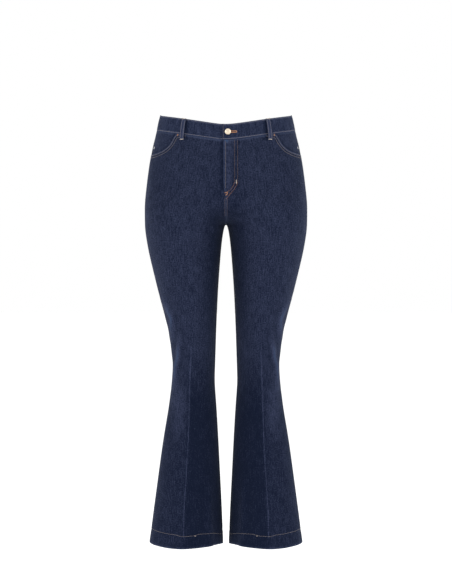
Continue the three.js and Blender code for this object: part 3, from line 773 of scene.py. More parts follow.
def copied(node, name):
    """A piece of its own on a CAD node's form, with its corners joined up."""
    piece = linked(name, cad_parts[node].data.copy())
    piece.data.name = name
    piece.data.materials.clear()
    with editing(piece):
        bpy.ops.mesh.remove_doubles(threshold=1e-5)
    return piece


def keep_outside(piece):
    """Leaves only the outer skin of a wall: the faces that join smoothly to its outermost one. Faces in
    the two middle planes are seams."""
    in_plane, smooth_turn = 0.00016, 0.3
    bm = bmesh.new()
    bm.from_mesh(piece.data)
    bm.faces.ensure_lookup_table()
    bm.normal_update()
    seams = {face.index for face in bm.faces for axis in (0, 1)
             if all(abs(v.co[axis]) < in_plane for v in face.verts)}
    start = max((f for f in bm.faces if f.index not in seams),
                key=lambda f: f.calc_center_median().xy.dot(f.normal.xy))
    kept = {start.index}
    waiting = [start]
    while waiting:
        face = waiting.pop()
        for other in (other for edge in face.edges for other in edge.link_faces):
            known = other.index in kept or other.index in seams
            if not known and face.normal.dot(other.normal) > smooth_turn:
                kept.add(other.index)
                waiting.append(other)
    bmesh.ops.delete(bm, geom=[f for f in bm.faces if f.index not in kept], context="FACES")
    bm.to_mesh(piece.data)
    bm.free()
    with editing(piece):
        bpy.ops.mesh.tris_convert_to_quads(face_threshold=math.radians(70),
                                           shape_threshold=math.radians(120))


def map_cut(piece):
    """Lays the skin flat as the cut piece, in metres, with the warp along V. Gives the flat size."""
    mesh = piece.data
    if not mesh.uv_layers:
        mesh.uv_layers.new(name="cut")
    mesh.uv_layers[0].name = "cut"
    with editing(piece):
        bpy.ops.uv.unwrap(method="CONFORMAL", margin=0.0)
    layer = mesh.uv_layers["cut"].uv
    uv = rows_of(layer, "vector", 2)

    def laid_area(polygon):
        corners = uv[list(polygon.loop_indices)]
        after = np.roll(corners, -1, axis=0)
        return 0.5 * abs(np.sum(corners[:, 0] * after[:, 1] - after[:, 0] * corners[:, 1]))

    real = sum(p.area for p in mesh.polygons)
    laid = sum(laid_area(p) for p in mesh.polygons)
    uv = (uv - uv.mean(axis=0)) * math.sqrt(real / laid)
    height = points_of(mesh)[[loop.vertex_index for loop in mesh.loops], 2]
    slope, *_ = np.linalg.lstsq(uv, height - height.mean(), rcond=None)
    slope /= np.linalg.norm(slope)
    uv = uv @ np.array([[slope[1], -slope[0]], [slope[0], slope[1]]]).T
    layer.foreach_set("vector", uv.ravel())
    size = uv.max(axis=0) - uv.min(axis=0)
    return float(size[0]), float(size[1]), float(real)


def base_corners(piece, count, apart=0.006):
    """The sharpest turns of a skin's edge."""
    ring = points_of(piece.data)[edge_loops(piece.data)[0]]
    before = ring - np.roll(ring, 1, axis=0)
    after = np.roll(ring, -1, axis=0) - ring
    before /= np.linalg.norm(before, axis=1)[:, None]
    after /= np.linalg.norm(after, axis=1)[:, None]
    turn = np.arccos(np.clip(np.sum(before * after, axis=1), -1, 1))
    found = []
    for place in ring[np.argsort(-turn)]:
        if len(found) < count and all(np.linalg.norm(place - other) > apart for other in found):
            found.append(place)
    return np.array(found)


def panel_corners(piece, side):
    """A leg panel's corners: the side seam's top, the middle's top, the fork, and both hem ends."""
    ring = points_of(piece.data)[edge_loops(piece.data)[0]]
    across, height = ring[:, 0] * side, ring[:, 2]
    on_seam = np.abs(ring[:, 1]) < 0.0004
    outer = on_seam & (across > LEG_MIDDLE)
    inner = on_seam & (across < LEG_MIDDLE)
    near_middle = across < 0.03
    sought = ((height, outer), (height, near_middle),
              (-np.abs(ring[:, 0]) - np.abs(ring[:, 1]), near_middle), (-height, inner), (-height, outer))
    return np.array([ring[int(np.argmax(np.where(mask, score, -np.inf)))] for score, mask in sought])


def sewn_sheet(piece, levels, corners, shape=None, press=BORDER["press"], ring=BORDER["ring"]):
    """Rounds a skin, gives its edge a narrow border that is drawn in and meets its neighbour, and shapes
    it. shape(points, seam) takes the points and their distances from the edge. It gives how far each
    moves out and down, how much lighter or darker it is by fading, painted highlights and painted shade,
    how far it is from a crease, and how sharp that is."""
    add_modifier(piece, "SUBSURF", levels=levels, render_levels=levels,
                 boundary_smooth="PRESERVE_CORNERS", uv_smooth="PRESERVE_BOUNDARIES")
    with editing(piece):
        bpy.ops.mesh.inset(thickness=ring, use_boundary=True, use_even_offset=True,
                           use_relative_offset=False, use_interpolate=True)
    mesh = piece.data
    points = points_of(mesh)
    normals = normals_of(mesh)
    loops = edge_loops(mesh)
    seam = tree_distances(edge_tree(points, loops), points)
    none = np.zeros(len(points))
    made = {"out": none, "down": none, "fade": none, "crease": none + 1, "sharp": none}
    made.update(shape(points, seam) if shape else {})
    moved = points + normals * (made["out"] - press * bell(seam, BORDER["round"]))[:, None]
    moved[:, 2] -= made["down"]
    rim = sorted(set(v for loop in loops for v in loop))
    found = [rim[int(np.argmin(np.linalg.norm(points[rim] - c, axis=1)))] for c in corners]
    draw_together(mesh, points, moved, set(rim))
    put_points(mesh, moved)
    write_attributes(mesh, seam=seam, fade=made["fade"], crease=made["crease"], sharp=made["sharp"])
    SKINS[piece.name] = Skin(piece, moved[found])


def draw_together(mesh, points, moved, rim):
    """Moves the edge's points out to meet the next piece's, and those of the middle seams and the side
    seams all the way to their plane."""
    for edge in mesh.edges:
        a, b = edge.vertices
        if (a in rim) != (b in rim):
            a, b = (a, b) if a in rim else (b, a)
            outward = unit(points[a] - points[b])
            moved[a] += outward * BORDER["meet"]
            for axis in (0, 1):
                if abs(outward[axis]) > 0.6 and abs(moved[a][axis]) < 0.0014:
                    moved[a][axis] = math.copysign(0.00002, outward[axis])


def thicken(piece, thickness, double=None):
    """Gives the skin its thickness, inwards, twice over where double says."""
    settings = {"thickness": thickness, "offset": -1.0, "use_even_offset": False, "use_rim": True,
                "material_offset": 1}
    while len(piece.data.materials) < 2:
        piece.data.materials.append(None)
    if double is not None:
        group = piece.vertex_groups.new(name="hem")
        group.add([int(i) for i in np.flatnonzero(double)], 1.0, "REPLACE")
        settings.update(thickness=thickness * 2, vertex_group="hem", thickness_vertex_group=0.5)
    add_modifier(piece, "SOLIDIFY", **settings)
    shade_smooth(piece, 48)
    piece.vertex_groups.clear()


def cloth_piece(node, name, levels, corners, shape=None, wall=None, double=None,
                finishes=("denim", "denim_inside"), slot="denim", rests_on="waistband_cloth", **border):
    """Makes a cloth piece on its CAD node's form, from skin to finished wall. corners is how many corners
    its edge has, or what finds them."""
    piece = copied(node, name)
    keep_outside(piece)
    flat = map_cut(piece)
    found = corners(piece) if callable(corners) else base_corners(piece, corners)
    sewn_sheet(piece, levels, found, shape, **border)
    doubled = double(points_of(piece.data)) if double else None
    thicken(piece, wall or bpy.context.scene.jeans_denim.thickness, doubled)
    settle(piece, finishes, node)


def loop_painted_shadow(points):
    """Painted shadow right beside the front belt loops, on their inner side, where the cloth is darkened.
    """
    tone = np.zeros(len(points))
    for name, side in SIDES.items():
        low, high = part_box(f"belt_loop_front_{name}")
        inward = min(low[0] * side, high[0] * side) - points[:, 0] * side
        by_loop = (inward > -0.006) & (points[:, 1] < 0) & (points[:, 2] > low[2] - 0.002)
        tone += TONES["beside_loops"] * bell(inward, 0.0042) * by_loop
    return tone


def around_leg(points):
    """The angle around the leg's middle, from its outer side towards the back."""
    return np.arctan2(points[:, 1], np.abs(points[:, 0]) - LEG_MIDDLE)


def hem_under(points):
    """The height of the cut's lowest line right under each point."""
    low = points[:, 2] < HEM_HIGHEST
    around = around_leg(points) / HEM_SECTOR
    floors = {}
    for sector, z in zip(np.round(around)[low], points[low, 2]):
        floors[sector] = min(z, floors.get(sector, 0.0))
    known = sorted(floors)
    return np.interp(around, known, [floors[k] for k in known])


def hem_relief(points, depth):
    """How far the turned up hem stands out, roped at its edge and drawn in at its stitches."""
    around = around_leg(points)
    height = points[:, 2] - hem_under(points)
    roping = np.sin(around * 26 + 0.6 * np.sin(around * 7)) * bell(height, 0.028)
    return 0.00030 * roping - 0.0005 * bell(height - depth, 0.0045)


def hem_level(points):
    """How far down each point goes so that the hem hangs level, with its seams a little lower."""
    under = hem_under(points)
    deep = np.clip(np.abs(points[:, 1]) / HEM_LINE["depth"], 0, 1)
    outer, inner = (np.interp(deep, HEM_LINE["shares"], HEM_LINE[half]) for half in ("outer", "inner"))
    target = np.where(np.abs(points[:, 0]) > LEG_MIDDLE, outer, inner)
    return (under - target) * (1 - step(points[:, 2] - under, 0, HEM_LINE["over"]))


def pressed_crease(places):
    """How far each place is across from the pressed crease, how sharp the crease is there, and how far
    its ridge stands out."""
    away, share = line_distance(places, CREASE_LINE)
    across = np.interp(-places[:, 1], [-z for _, z in CREASE_LINE], [x for x, _ in CREASE_LINE])
    begins = step(share, 0, CREASE_RIDGE["begins"])
    above_hem = step(places[:, 1], CREASE_RIDGE["low"] - 0.005, 0.005)
    ridge = CREASE_RIDGE["height"] * bell(away, CREASE_RIDGE["width"]) * begins
    return np.copysign(away, places[:, 0] - across), begins * above_hem, ridge


def folded(places, face):
    """How far out each place of a leg's front or back is by its folds, and how much lighter or darker: a
    painted highlight along the front's ridges, a faint lightening along the back's, and painted shade in
    the front's troughs.
    """
    style = FOLD_STYLES[face]
    out, fade = np.zeros(len(places)), np.zeros(len(places))
    for fold in LEG_FOLDS[face]:
        width = fold["width"]
        away, share = line_distance(places, fold["line"])
        ends = np.sin(np.pi * np.clip(share, 0.04, 0.96)) ** style["blunt"]
        trough = bell(away - 2.1 * width, 1.2 * width)
        out += fold["height"] * (bell(away, width) - style["trough"] * trough) * ends
        # A painted highlight along the ridge, less the painted shade of the trough beside it
        fade += fold["fade"] * (bell(away, style["worn"] * width) - style["shade"] * trough) * ends
    return out, fade


def leg_painted_shading(x, z):
    """Painted shade over the leg's whole length: the inner half stays dark at the thigh and on the lower
    leg, the lower leg is darker all round, and the outer hips are darker except along the side seam, which
    carries a faint painted highlight.
    """
    inner_thigh_painted_shade = (1 - step(x, 0.025, 0.042)) * bell(z + 0.38, 0.17)
    middle = np.interp(z, LEG_MIDLINE["height"], LEG_MIDLINE["across"])
    shin = 1 - step(z, -0.75, 0.20)
    inner_shin_painted_shade = (1 - step(x - middle, -0.012, 0.024)) * shin
    hip = step(z, -0.30, 0.1) * step(x, 0.10, 0.1)
    by_seam = step(x, 0.182, 0.014)
    return (TONES["inner_thigh_painted_shade"] * inner_thigh_painted_shade + TONES["inner_shin_painted_shade"] * inner_shin_painted_shade + TONES["shin"] * shin
            + hip * (TONES["hip"] * (1 - by_seam) + TONES["side_seam"]))


def fly_tone(x, z, side):
    """The fly's worn, roped lap and the painted shade of the channel between its rows on the left, and the
    painted shadow of the lap beside it on the right.
    """
    along = step(z, FLY_WEAR_AND_SHADE["low"], 0.02)
    # On the right front, a painted shadow of the fly's lap
    if side < 0:
        return TONES["beside_fly"] * (1 - step(x, 0.011, 0.006)) * along
    roping = np.sin(z * 2 * np.pi / FLY_WEAR_AND_SHADE["roping"] + 40 * x)
    lap = bell(x - FLY_WEAR_AND_SHADE["lap"], 0.0070, 4) * (0.15 + 0.14 * step(-z, 0.128, 0.03) + 0.16 * roping)
    # Painted shade in the channel between the fly's rows
    channel = bell(x - FLY_WEAR_AND_SHADE["channel"], 0.0045)
    corner = np.hypot(x - FLY_WEAR_AND_SHADE["corner"][0], z - FLY_WEAR_AND_SHADE["corner"][1])
    return (lap + TONES["fly_channel_painted_shade"] * channel) * along + TONES["fly_corner"] * bell(corner, 0.0045)


def leg_shape(side, face, depth):
    """The shape, wear, painted highlights and painted shade of a leg panel."""
    def shape(points, seam):
        places = np.column_stack([points[:, 0] * side, points[:, 2]])
        x, z = places.T
        # The folds' painted highlights and the painted shade of their troughs, then painted shade over the
        # whole leg
        out, fade = folded(places, face)
        fade += leg_painted_shading(x, z)
        if face == "front":
            # On the fronts: the fly's wear, the painted shadows beside the fly and the belt loops, and a
            # lighter band under the waistband seam
            under_band = bell(seam, 0.004) * (z > UNDER_BAND)
            fade += fly_tone(x, z, side) + loop_painted_shadow(points) + TONES["band_seam"] * under_band
        crease, sharp, ridge = pressed_crease(places)
        return {"out": out + ridge + hem_relief(points, depth), "down": hem_level(points),
                "fade": fade, "crease": crease, "sharp": sharp}
    return shape


class JEANS_OT_legs(bpy.types.Operator):
    """The two fronts and two backs, with their folds, pressed creases and turned up hems"""

    bl_idname = "jeans.legs"
    bl_label = "Leg Panels"

    def execute(self, context):
        depth = context.scene.jeans_denim.hem_depth
        for name, side in SIDES.items():
            for face, above in (("front", "waistband_cloth"), ("back", f"yoke_cloth_{name}")):
                cloth_piece(f"{face}_{name}", f"leg_{face}_{name}", 2,
                            lambda piece: panel_corners(piece, side), leg_shape(side, face, depth),
                            double=lambda points: points[:, 2] < points[:, 2].min() + depth,
                            rests_on=above)
        return {"FINISHED"}


class JEANS_OT_yokes(bpy.types.Operator):
    """The two back yokes under the waistband"""

    bl_idname = "jeans.yokes"
    bl_label = "Yokes"

    def execute(self, context):
        for name in SIDES:
            cloth_piece(f"yoke_{name}", f"yoke_cloth_{name}", 2, 4)
        return {"FINISHED"}


class JEANS_OT_pocket_insets(bpy.types.Operator):
    """The cloth that shows in the curved front pocket mouths, with a painted shadow beside the mouth's
    edge
    """

    bl_idname = "jeans.pocket_insets"
    bl_label = "Pocket Insets"

    def execute(self, context):
        for name in SIDES:
            front = SKINS[f"leg_front_{name}"]
            mouth = edge_tree(front.points, front.loops)

            # Painted shadow on the inset, darkest beside the front's edges
            def shape(points, seam):
                return {"fade": TONES["pocket_mouth"] * bell(tree_distances(mouth, points), 0.006)}

            cloth_piece(f"pocket_inset_{name}", f"inset_cloth_{name}", 3, 4, shape, press=0.0)
        return {"FINISHED"}


class JEANS_OT_back_pockets(bpy.types.Operator):
    """The plain patch pockets on the seat, a little slack in their middle"""

    bl_idname = "jeans.back_pockets"
    bl_label = "Back Pockets"

    def execute(self, context):
        def shape(points, seam):
            slack = step(seam, 0, 0.03)
            return {"out": 0.0010 * slack, "fade": TONES["back_pocket"] * slack}

        for name in SIDES:
            cloth_piece(f"back_pocket_{name}", f"patch_pocket_{name}", 2, 5, shape, press=0.0007,
                        rests_on=f"leg_back_{name}")
        return {"FINISHED"}


class JEANS_OT_waistband(bpy.types.Operator):
    """The curved waistband with its lap and keyhole buttonhole"""

    bl_idname = "jeans.waistband"
    bl_label = "Waistband"

    def execute(self, context):
        piece = copied("waistband", "waistband_cloth")
        keep_outside(piece)
        guide = Skin(piece, base_corners(piece, 4))
        top, low = (self.from_lap(guide.points[s]) for s in guide.long_sides())
        stations = self.stations(top)
        matched = stations * (len(low) - 1) / (len(top) - 1)
        top, low = catmull(top, stations), catmull(low, matched)
        count = len(top)
        points = np.concatenate([top + (low - top) * share for share in BAND_ROWS])
        mesh = bpy.data.meshes.new("waistband_cloth")
        mesh.from_pydata(points.tolist(), [], self.faces(points, count))
        old = piece.data
        piece.data = mesh
        bpy.data.meshes.remove(old)
        mesh.name = "waistband_cloth"
        normals = normals_of(mesh)
        if float(np.mean(np.sum(points[:, :2] * normals[:, :2], axis=1))) < 0:
            with editing(piece):
                bpy.ops.mesh.flip_normals()
        flat = self.lay_flat(mesh, top, low)
        deep = np.repeat(BAND_ROWS, count)
        place = np.tile(np.arange(count), len(BAND_ROWS))
        ripple = 0.00012 * (np.sin(place * 0.55) + np.sin(place * 0.23 + 1)) * np.sin(np.pi * deep)
        puff = 0.0007 * np.sin(np.pi * np.clip((deep - 0.06) / 0.88, 0, 1)) ** 0.45
        put_points(mesh, points_of(mesh) + normals_of(mesh) * (puff + ripple)[:, None])
        puckers = np.sin(place * 1.9 + 1.3 * np.sin(place * 0.31)) * np.sin(place * 0.77 + 2.0)
        puckers *= 0.6 + 0.4 * np.cos(np.pi * deep)
        # The band carries its puckered tone and the painted shadow beside the front belt loops
        write_attributes(mesh, seam=np.minimum(deep, 1 - deep) * BAND_DEPTH,
                         fade=(TONES["waistband"] + TONES["band_puckers"] * puckers
                               + loop_painted_shadow(points_of(mesh))),
                         crease=np.ones(len(points)), sharp=np.zeros(len(points)))
        SKINS[piece.name] = Skin(piece, [top[0], top[-1], low[0], low[-1]])
        thicken(piece, WALLS["waistband"])
        settle(piece, ("denim_band", "denim_band"), "waistband")
        return {"FINISHED"}

    def from_lap(self, line):
        """The line from the lapping end on, which is the one that crosses the middle at the front."""
        return line if line[0][0] < line[-1][0] else line[::-1]

    def stations(self, top):
        """Places along the band, close together by the buttonhole."""
        gone = travelled(top)
        close = np.arange(0, LAP_LENGTH, 0.0012)
        wide = np.linspace(LAP_LENGTH, gone[-1], int((gone[-1] - LAP_LENGTH) / 0.0036))
        return np.interp(np.concatenate([close, wide]), gone, np.arange(len(top)))

    def faces(self, points, count):
        """The grid's faces, without those of the buttonhole's slit."""
        faces = []
        for r, c in np.ndindex(len(BAND_ROWS) - 1, count - 1):
            face = (r * count + c, r * count + c + 1, (r + 1) * count + c + 1, (r + 1) * count + c)
            deep = 0.5 * (BAND_ROWS[r] + BAND_ROWS[r + 1])
            in_rows = BUTTONHOLE["rows"][0] < deep < BUTTONHOLE["rows"][1]
            across = points[list(face), 0].mean()
            in_slit = BUTTONHOLE["slit"][0] < across < BUTTONHOLE["slit"][1]
            if not (in_rows and in_slit and c < count / 4):
                faces.append(face)
        return faces

    def lay_flat(self, mesh, top, low):
        """Maps the band as a straight strip and gives its flat size."""
        along = travelled(0.5 * (top + low))
        deep = float(np.mean(np.linalg.norm(top - low, axis=1)))
        layer = mesh.uv_layers.new(name="cut")
        for loop in mesh.loops:
            row, column = divmod(loop.vertex_index, len(top))
            layer.data[loop.index].uv = (float(along[column]), deep * (1 - BAND_ROWS[row]))
        return float(along[-1]), deep, deep * float(along[-1]) * 0.999


class JEANS_OT_belt_loops(bpy.types.Operator):
    """The five belt loops, sewn down at both ends"""

    bl_idname = "jeans.belt_loops"
    bl_label = "Belt Loops"

    def execute(self, context):
        places = [f"{face}_{side}" for face in ("front", "back") for side in SIDES]
        for place in places + ["centre_back"]:
            cloth_piece(f"belt_loop_{place}", f"loop_cloth_{place}", 2, 4,
                        lambda points, seam: {"fade": np.full(len(points), TONES["belt_loop"])},
                        wall=WALLS["loop"], press=0.0003, ring=0.0009)
        return {"FINISHED"}


class JEANS_OT_fly_shield(bpy.types.Operator):
    """The shield behind the zip"""

    bl_idname = "jeans.fly_shield"
    bl_label = "Fly Shield"

    def execute(self, context):
        cloth_piece("fly_shield", "shield_cloth", 1, 4, wall=WALLS["shield"], press=0.0,
                    finishes=("denim_hidden", "denim_hidden"))
        return {"FINISHED"}


# Small repeated shapes


def repeated(piece, name, placings):
    """One mesh of a small shape's copies, each at its own place and turn, as its own object."""
    if not placings:
        raise RuntimeError(f"{name} found no place on the cloth")
    points = points_of(piece.data)
    faces = [tuple(p.vertices) for p in piece.data.polygons]
    placings = np.asarray(placings)
    spots = np.einsum("nij,pj->npi", placings[:, :3, :3], points) + placings[:, None, :3, 3]
    all_faces = [tuple(v + n * len(points) for v in f) for n in range(len(placings)) for f in faces]
    mesh = bpy.data.meshes.new(name)
    mesh.from_pydata(spots.reshape(-1, 3).tolist(), [], all_faces)
    mesh.polygons.foreach_set("use_smooth", [True] * len(mesh.polygons))
    bpy.data.objects.remove(piece)
    return linked(name, mesh)


def placing(spot, along, up):
    """The turn and place with X along and Z up at a spot."""
    along = np.asarray(along, dtype=float)
    along = unit(along - up * (along @ up))
    turn = np.eye(4)
    turn[:3, :] = np.column_stack([along, np.cross(up, along), up, spot])
    return turn


class JEANS_OT_zip(bpy.types.Operator):
    """The closed zip behind the fly: its tape, its teeth and its slider"""

    bl_idname = "jeans.zip"
    bl_label = "Zip"

    def execute(self, context):
        cloth_piece("zip_tape", "zip_tape_cloth", 1, 4, wall=WALLS["tape"], press=0.0,
                    finishes=("tape_cloth", "tape_cloth"), slot="zip_cloth", rests_on="shield_cloth")
        low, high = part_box("zip_tape")
        middle = 0.5 * (low[0] + high[0])
        heights = np.arange(low[2] + TOOTH["first"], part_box("zip_slider")[0][2], TOOTH["pitch"])
        places = [(middle + TOOTH["shift"] * (1 if n % 2 else -1), z) for n, z in enumerate(heights)]
        turns = [placing(spot + normal * TOOTH["lift"], (1.0, 0, 0), normal)
                 for spot, normal in SKINS["zip_tape_cloth"].seen_from(places)]
        settle(repeated(self.tooth(), "zip_teeth", turns), ("brass",))
        dress(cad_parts["zip_slider"], "brass")
        return {"FINISHED"}

    def tooth(self):
        """A small block with rounded edges."""
        piece = primitive(bpy.ops.mesh.primitive_cube_add, "zip_tooth", size=1.0)
        piece.scale = TOOTH["size"]
        bpy.ops.object.transform_apply(location=True, rotation=True, scale=True)
        with editing(piece):
            bpy.ops.mesh.bevel(offset=TOOTH["bevel"], segments=1, affect="EDGES")
        return piece


# Sewing


def resampled(line, pitch):
    """Places at an even pitch on a line of (place, normal), with the way it runs and the normal."""
    if len(line) < 2:
        return []
    spots, normals = (np.array(column) for column in zip(*line))
    gone = travelled(spots)
    count = int(gone[-1] / pitch)
    at = (np.arange(count) + 0.5) * gone[-1] / max(count, 1)

    def along(values, where):
        return np.column_stack([np.interp(where, gone, values[:, k]) for k in range(3)])

    ahead = along(spots, at + 0.4 * pitch) - along(spots, at - 0.4 * pitch)
    up = along(normals, at)
    up /= np.linalg.norm(up, axis=1)[:, None]
    return list(zip(along(spots, at), ahead, up))


def stitch_shape(length, thick):
    piece = primitive(bpy.ops.mesh.primitive_uv_sphere_add, "stitch", segments=6, ring_count=4,
                      radius=0.5)
    with editing(piece):
        bpy.ops.transform.rotate(value=math.pi / 2, orient_axis="Y", center_override=(0, 0, 0))
        bpy.ops.transform.resize(value=(length, thick * 1.15, thick))
    return piece


def sew(name, lines, finish, pitch=None, length=None, thread=None, across=False):
    """Rows of stitches on the cloth, as one piece."""
    sewing = bpy.context.scene.jeans_sewing
    pitch, length, thread = pitch or sewing.pitch, length or sewing.length, thread or sewing.thread
    turns = []
    for line in lines:
        for spot, ahead, up in resampled(line, pitch):
            run = np.cross(up, ahead) if across else ahead
            turns.append(placing(spot + up * thread * 0.22, run, up))
    settle(repeated(stitch_shape(length, thread), name, turns), (finish,))


def upright(x, top, low, count):
    """Places (x, height) down a straight line."""
    return [(x, z) for z in np.linspace(top, low, count)]


def bar(skin, centre, way, length):
    """A short straight line on the cloth."""
    way = np.asarray(way, dtype=float)
    way /= np.linalg.norm(way)
    places = [np.asarray(centre) + way * s for s in np.linspace(-length / 2, length / 2, 5)]
    return [skin.snap(p)[:2] for p in places]


def seen_bar(skin, x, z, way, length, side=1):
    """A bar where the front shows the place (across, height), on either side."""
    hit = skin.seen_from([(side * x, z)])
    if not hit:
        raise RuntimeError("a bar of stitches misses the cloth")
    return bar(skin, hit[0][0], (way[0], way[1], way[2] * side), length)


class JEANS_OT_topstitch(bpy.types.Operator):
    """The topstitching of the waistband, pockets, fly, yokes, seams and hems"""

    bl_idname = "jeans.topstitch"
    bl_label = "Topstitching"

    def execute(self, context):
        self.waistband()
        self.fly()
        self.front_pockets()
        self.seat()
        self.hems(context.scene.jeans_denim.hem_depth)
        self.belt_loops()
        return {"FINISHED"}

    def waistband(self):
        skin = SKINS["waistband_cloth"]
        low = skin.long_sides()[1]
        sew("thread_waistband", [skin.inside(low, ROWS["waistband"])], "thread_tan")
        rest = [skin.inside(side, ROWS["waistband"]) for side in skin.sides if side is not low]
        sew("thread_waistband_edges", rest, "thread_tan", thread=0.00055)

    def fly(self):
        skin = SKINS["leg_front_left"]
        straight, curved = [], []
        for points in FLY_ROWS:
            path = catmull(np.array(points), np.linspace(0, len(points) - 1, 80))
            straight.append(skin.seen_from([(x, z) for x, z in path if z > FLY_CURVE[0]]))
            curved.append(skin.seen_from([(x, z) for x, z in path if z < FLY_CURVE[1]]))
        x, top, low = CROTCH_SEAM
        for name, side in SIDES.items():
            straight.append(SKINS[f"leg_front_{name}"].seen_from(upright(side * x, top, low, 12)))
        sew("thread_fly", straight, "thread_rust")
        sew("thread_fly_curve", curved, "thread_copper", thread=0.00065)
        sew("thread_fly_edge", [skin.seen_from(upright(*FLY_EDGE, 30))], "thread_tan", thread=0.0006)

    def front_pockets(self):
        lines = []
        for name, side in SIDES.items():
            skin = SKINS[f"leg_front_{name}"]
            mouth = self.mouth(skin, side)
            lines += [skin.extended(skin.inside(mouth, distance)) for distance in ROWS["mouth"]]
        sew("thread_pocket_mouths", lines, "thread_tan")

    def mouth(self, skin, side):
        """The curved part of a front's top edge, from the side seam to the waistband."""
        top = skin.side(lambda p: p[2] * 4 + min(p[0] * side, 0.2))
        if abs(skin.points[top[0]][0]) < abs(skin.points[top[-1]][0]):
            top = top[::-1]
        places = skin.points[top]
        under_band = 0.02 * (np.abs(places[:, 0]) < 0.125)
        return top[:int(np.argmax(places[:, 2] + under_band)) + 1]

    def seat(self):
        seams = []
        for name in SIDES:
            skin = SKINS[f"yoke_cloth_{name}"]
            low = skin.long_sides()[1]
            seams += [skin.extended(skin.inside(low, distance)) for distance in ROWS["yoke"]]
        for x in ROWS["seat"]:
            seams += [SKINS[name].seen_from(upright(x, *ends), -1.0) for name, ends in SEAT_SEAM.items()]
        sew("thread_seat_seams", seams, "thread_tan")
        pockets = []
        for name in SIDES:
            skin = SKINS[f"patch_pocket_{name}"]
            top = skin.side(lambda p: p[2])
            for side in skin.sides:
                distances = ROWS["pocket_top" if side is top else "pocket"]
                pockets += [skin.inside(side, distance) for distance in distances]
        sew("thread_back_pockets", pockets, "thread_tan")

    def hems(self, depth):
        lines = []
        for name in SIDES:
            for face in ("front", "back"):
                skin = SKINS[f"leg_{face}_{name}"]
                row = [p for p, _ in skin.inside(skin.side(lambda p: -p[2]), depth)]
                rises = np.interp([abs(p[0]) for p in row], HEM_ROW["across"], HEM_ROW["rise"])
                lines.append(skin.extended([skin.snap(p + (0, 0, up))[:2] for p, up in zip(row, rises)]))
        sew("thread_hems", lines, "thread_tan", thread=0.00072)

    def belt_loops(self):
        lines = [skin.inside(side, ROWS["loop"]) for name, skin in SKINS.items()
                 if name.startswith("loop_cloth") for side in skin.long_sides()]
        sew("thread_belt_loops", lines, "thread_tan", pitch=0.0026, length=0.0021, thread=0.00075)


class JEANS_OT_bartacks(bpy.types.Operator):
    """The close stitched bars at the pocket mouths, fly and belt loops, and the buttonhole's thread"""

    bl_idname = "jeans.bartacks"
    bl_label = "Bartacks"

    def execute(self, context):
        fronts = {side: SKINS[f"leg_front_{name}"] for name, side in SIDES.items()}
        sew("bartacks_loops", self.loop_bars(), "thread_pale", length=0.0017, **BAR)
        sew("bartacks_copper", self.pocket_bars(), "thread_copper", length=0.0026, **BAR)
        sew("bartacks_mouths", [seen_bar(skin, *MOUTH_BAR, side) for side, skin in fronts.items()],
            "thread_copper", pitch=0.00075, length=0.0042, thread=0.00065, across=True)
        sew("bartack_fly", [seen_bar(fronts[1], *FLY_BAR)], "thread_pale", length=0.0013, **BAR)
        sew("thread_hem_starts", [seen_bar(skin, *HEM_START, side) for side, skin in fronts.items()],
            "thread_pale", pitch=0.0021, length=0.0019, thread=0.0007)
        sew("bartack_fly_end", [seen_bar(fronts[1], *ends) for ends in FLY_END_BARS], "thread_copper",
            length=0.0024, **{**BAR, "thread": 0.0007})
        self.buttonhole()
        return {"FINISHED"}

    def loop_bars(self):
        """A bar across each end of each belt loop."""
        bars = []
        for name, skin in SKINS.items():
            if name.startswith("loop_cloth"):
                heights = skin.points[:, 2]
                for height in (heights.max() - 0.002, heights.min() + 0.002):
                    near = skin.points[np.abs(heights - height) < 0.002].mean(axis=0)
                    sideways = np.cross(UPRIGHT, skin.snap(near)[1])
                    bars.append(bar(skin, (near[0], near[1], height), sideways, 0.0095))
        return bars

    def pocket_bars(self):
        """A bar down from each top corner of the back pockets."""
        bars = []
        for name in SIDES:
            pocket = SKINS[f"patch_pocket_{name}"]
            top = pocket.side(lambda p: p[2])
            bars += [bar(pocket, pocket.points[corner] - (0, 0, 0.005), UPRIGHT, 0.008)
                     for corner in (top[2], top[-3])]
        return bars

    def buttonhole(self):
        """Close stitches around the slit, with a round end beyond the button."""
        low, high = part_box("waist_button")
        button, z = 0.5 * (low[0] + high[0]), 0.5 * (low[2] + high[2])
        end, reach = BUTTONHOLE["end"], BUTTONHOLE["reach"]
        path = [(x, z + reach) for x in np.linspace(button, end, 24)]
        path += [(end + reach * math.cos(turn), z + reach * math.sin(turn))
                 for turn in np.linspace(math.pi / 2, -math.pi / 2, 9)]
        path += [(x, z - reach) for x in np.linspace(end, button, 24)]
        sew("buttonhole_thread", [SKINS["waistband_cloth"].seen_from(path)], "thread_copper",
            pitch=0.00068, length=0.0026, thread=0.0007, across=True)


# Fastenings


def turned(name, profile, spot, axis, steps=40):
    """A round piece: a disc drawn out ring by ring, then set on a spot with its axis outwards."""
    radius, height = profile[0]
    piece = primitive(bpy.ops.mesh.primitive_circle_add, name, vertices=steps, radius=radius,
                      fill_type="NGON")
    with editing(piece):
        bpy.ops.transform.translate(value=(0, 0, height))
        for wider, higher in profile[1:]:
            bpy.ops.mesh.extrude_region_move(TRANSFORM_OT_translate={"value": (0, 0, higher - height)})
            share = wider / radius
            bpy.ops.transform.resize(value=(share, share, 1.0), center_override=(0, 0, higher))
            radius, height = wider, higher
        bpy.ops.mesh.select_all(action="SELECT")
        bpy.ops.mesh.normals_make_consistent(inside=False)
    turn = Vector((0, 0, 1)).rotation_difference(Vector(axis)).to_matrix().to_4x4()
    piece.data.transform(Matrix.Translation(Vector(spot)) @ turn)
    shade_smooth(piece, 50)
    return piece


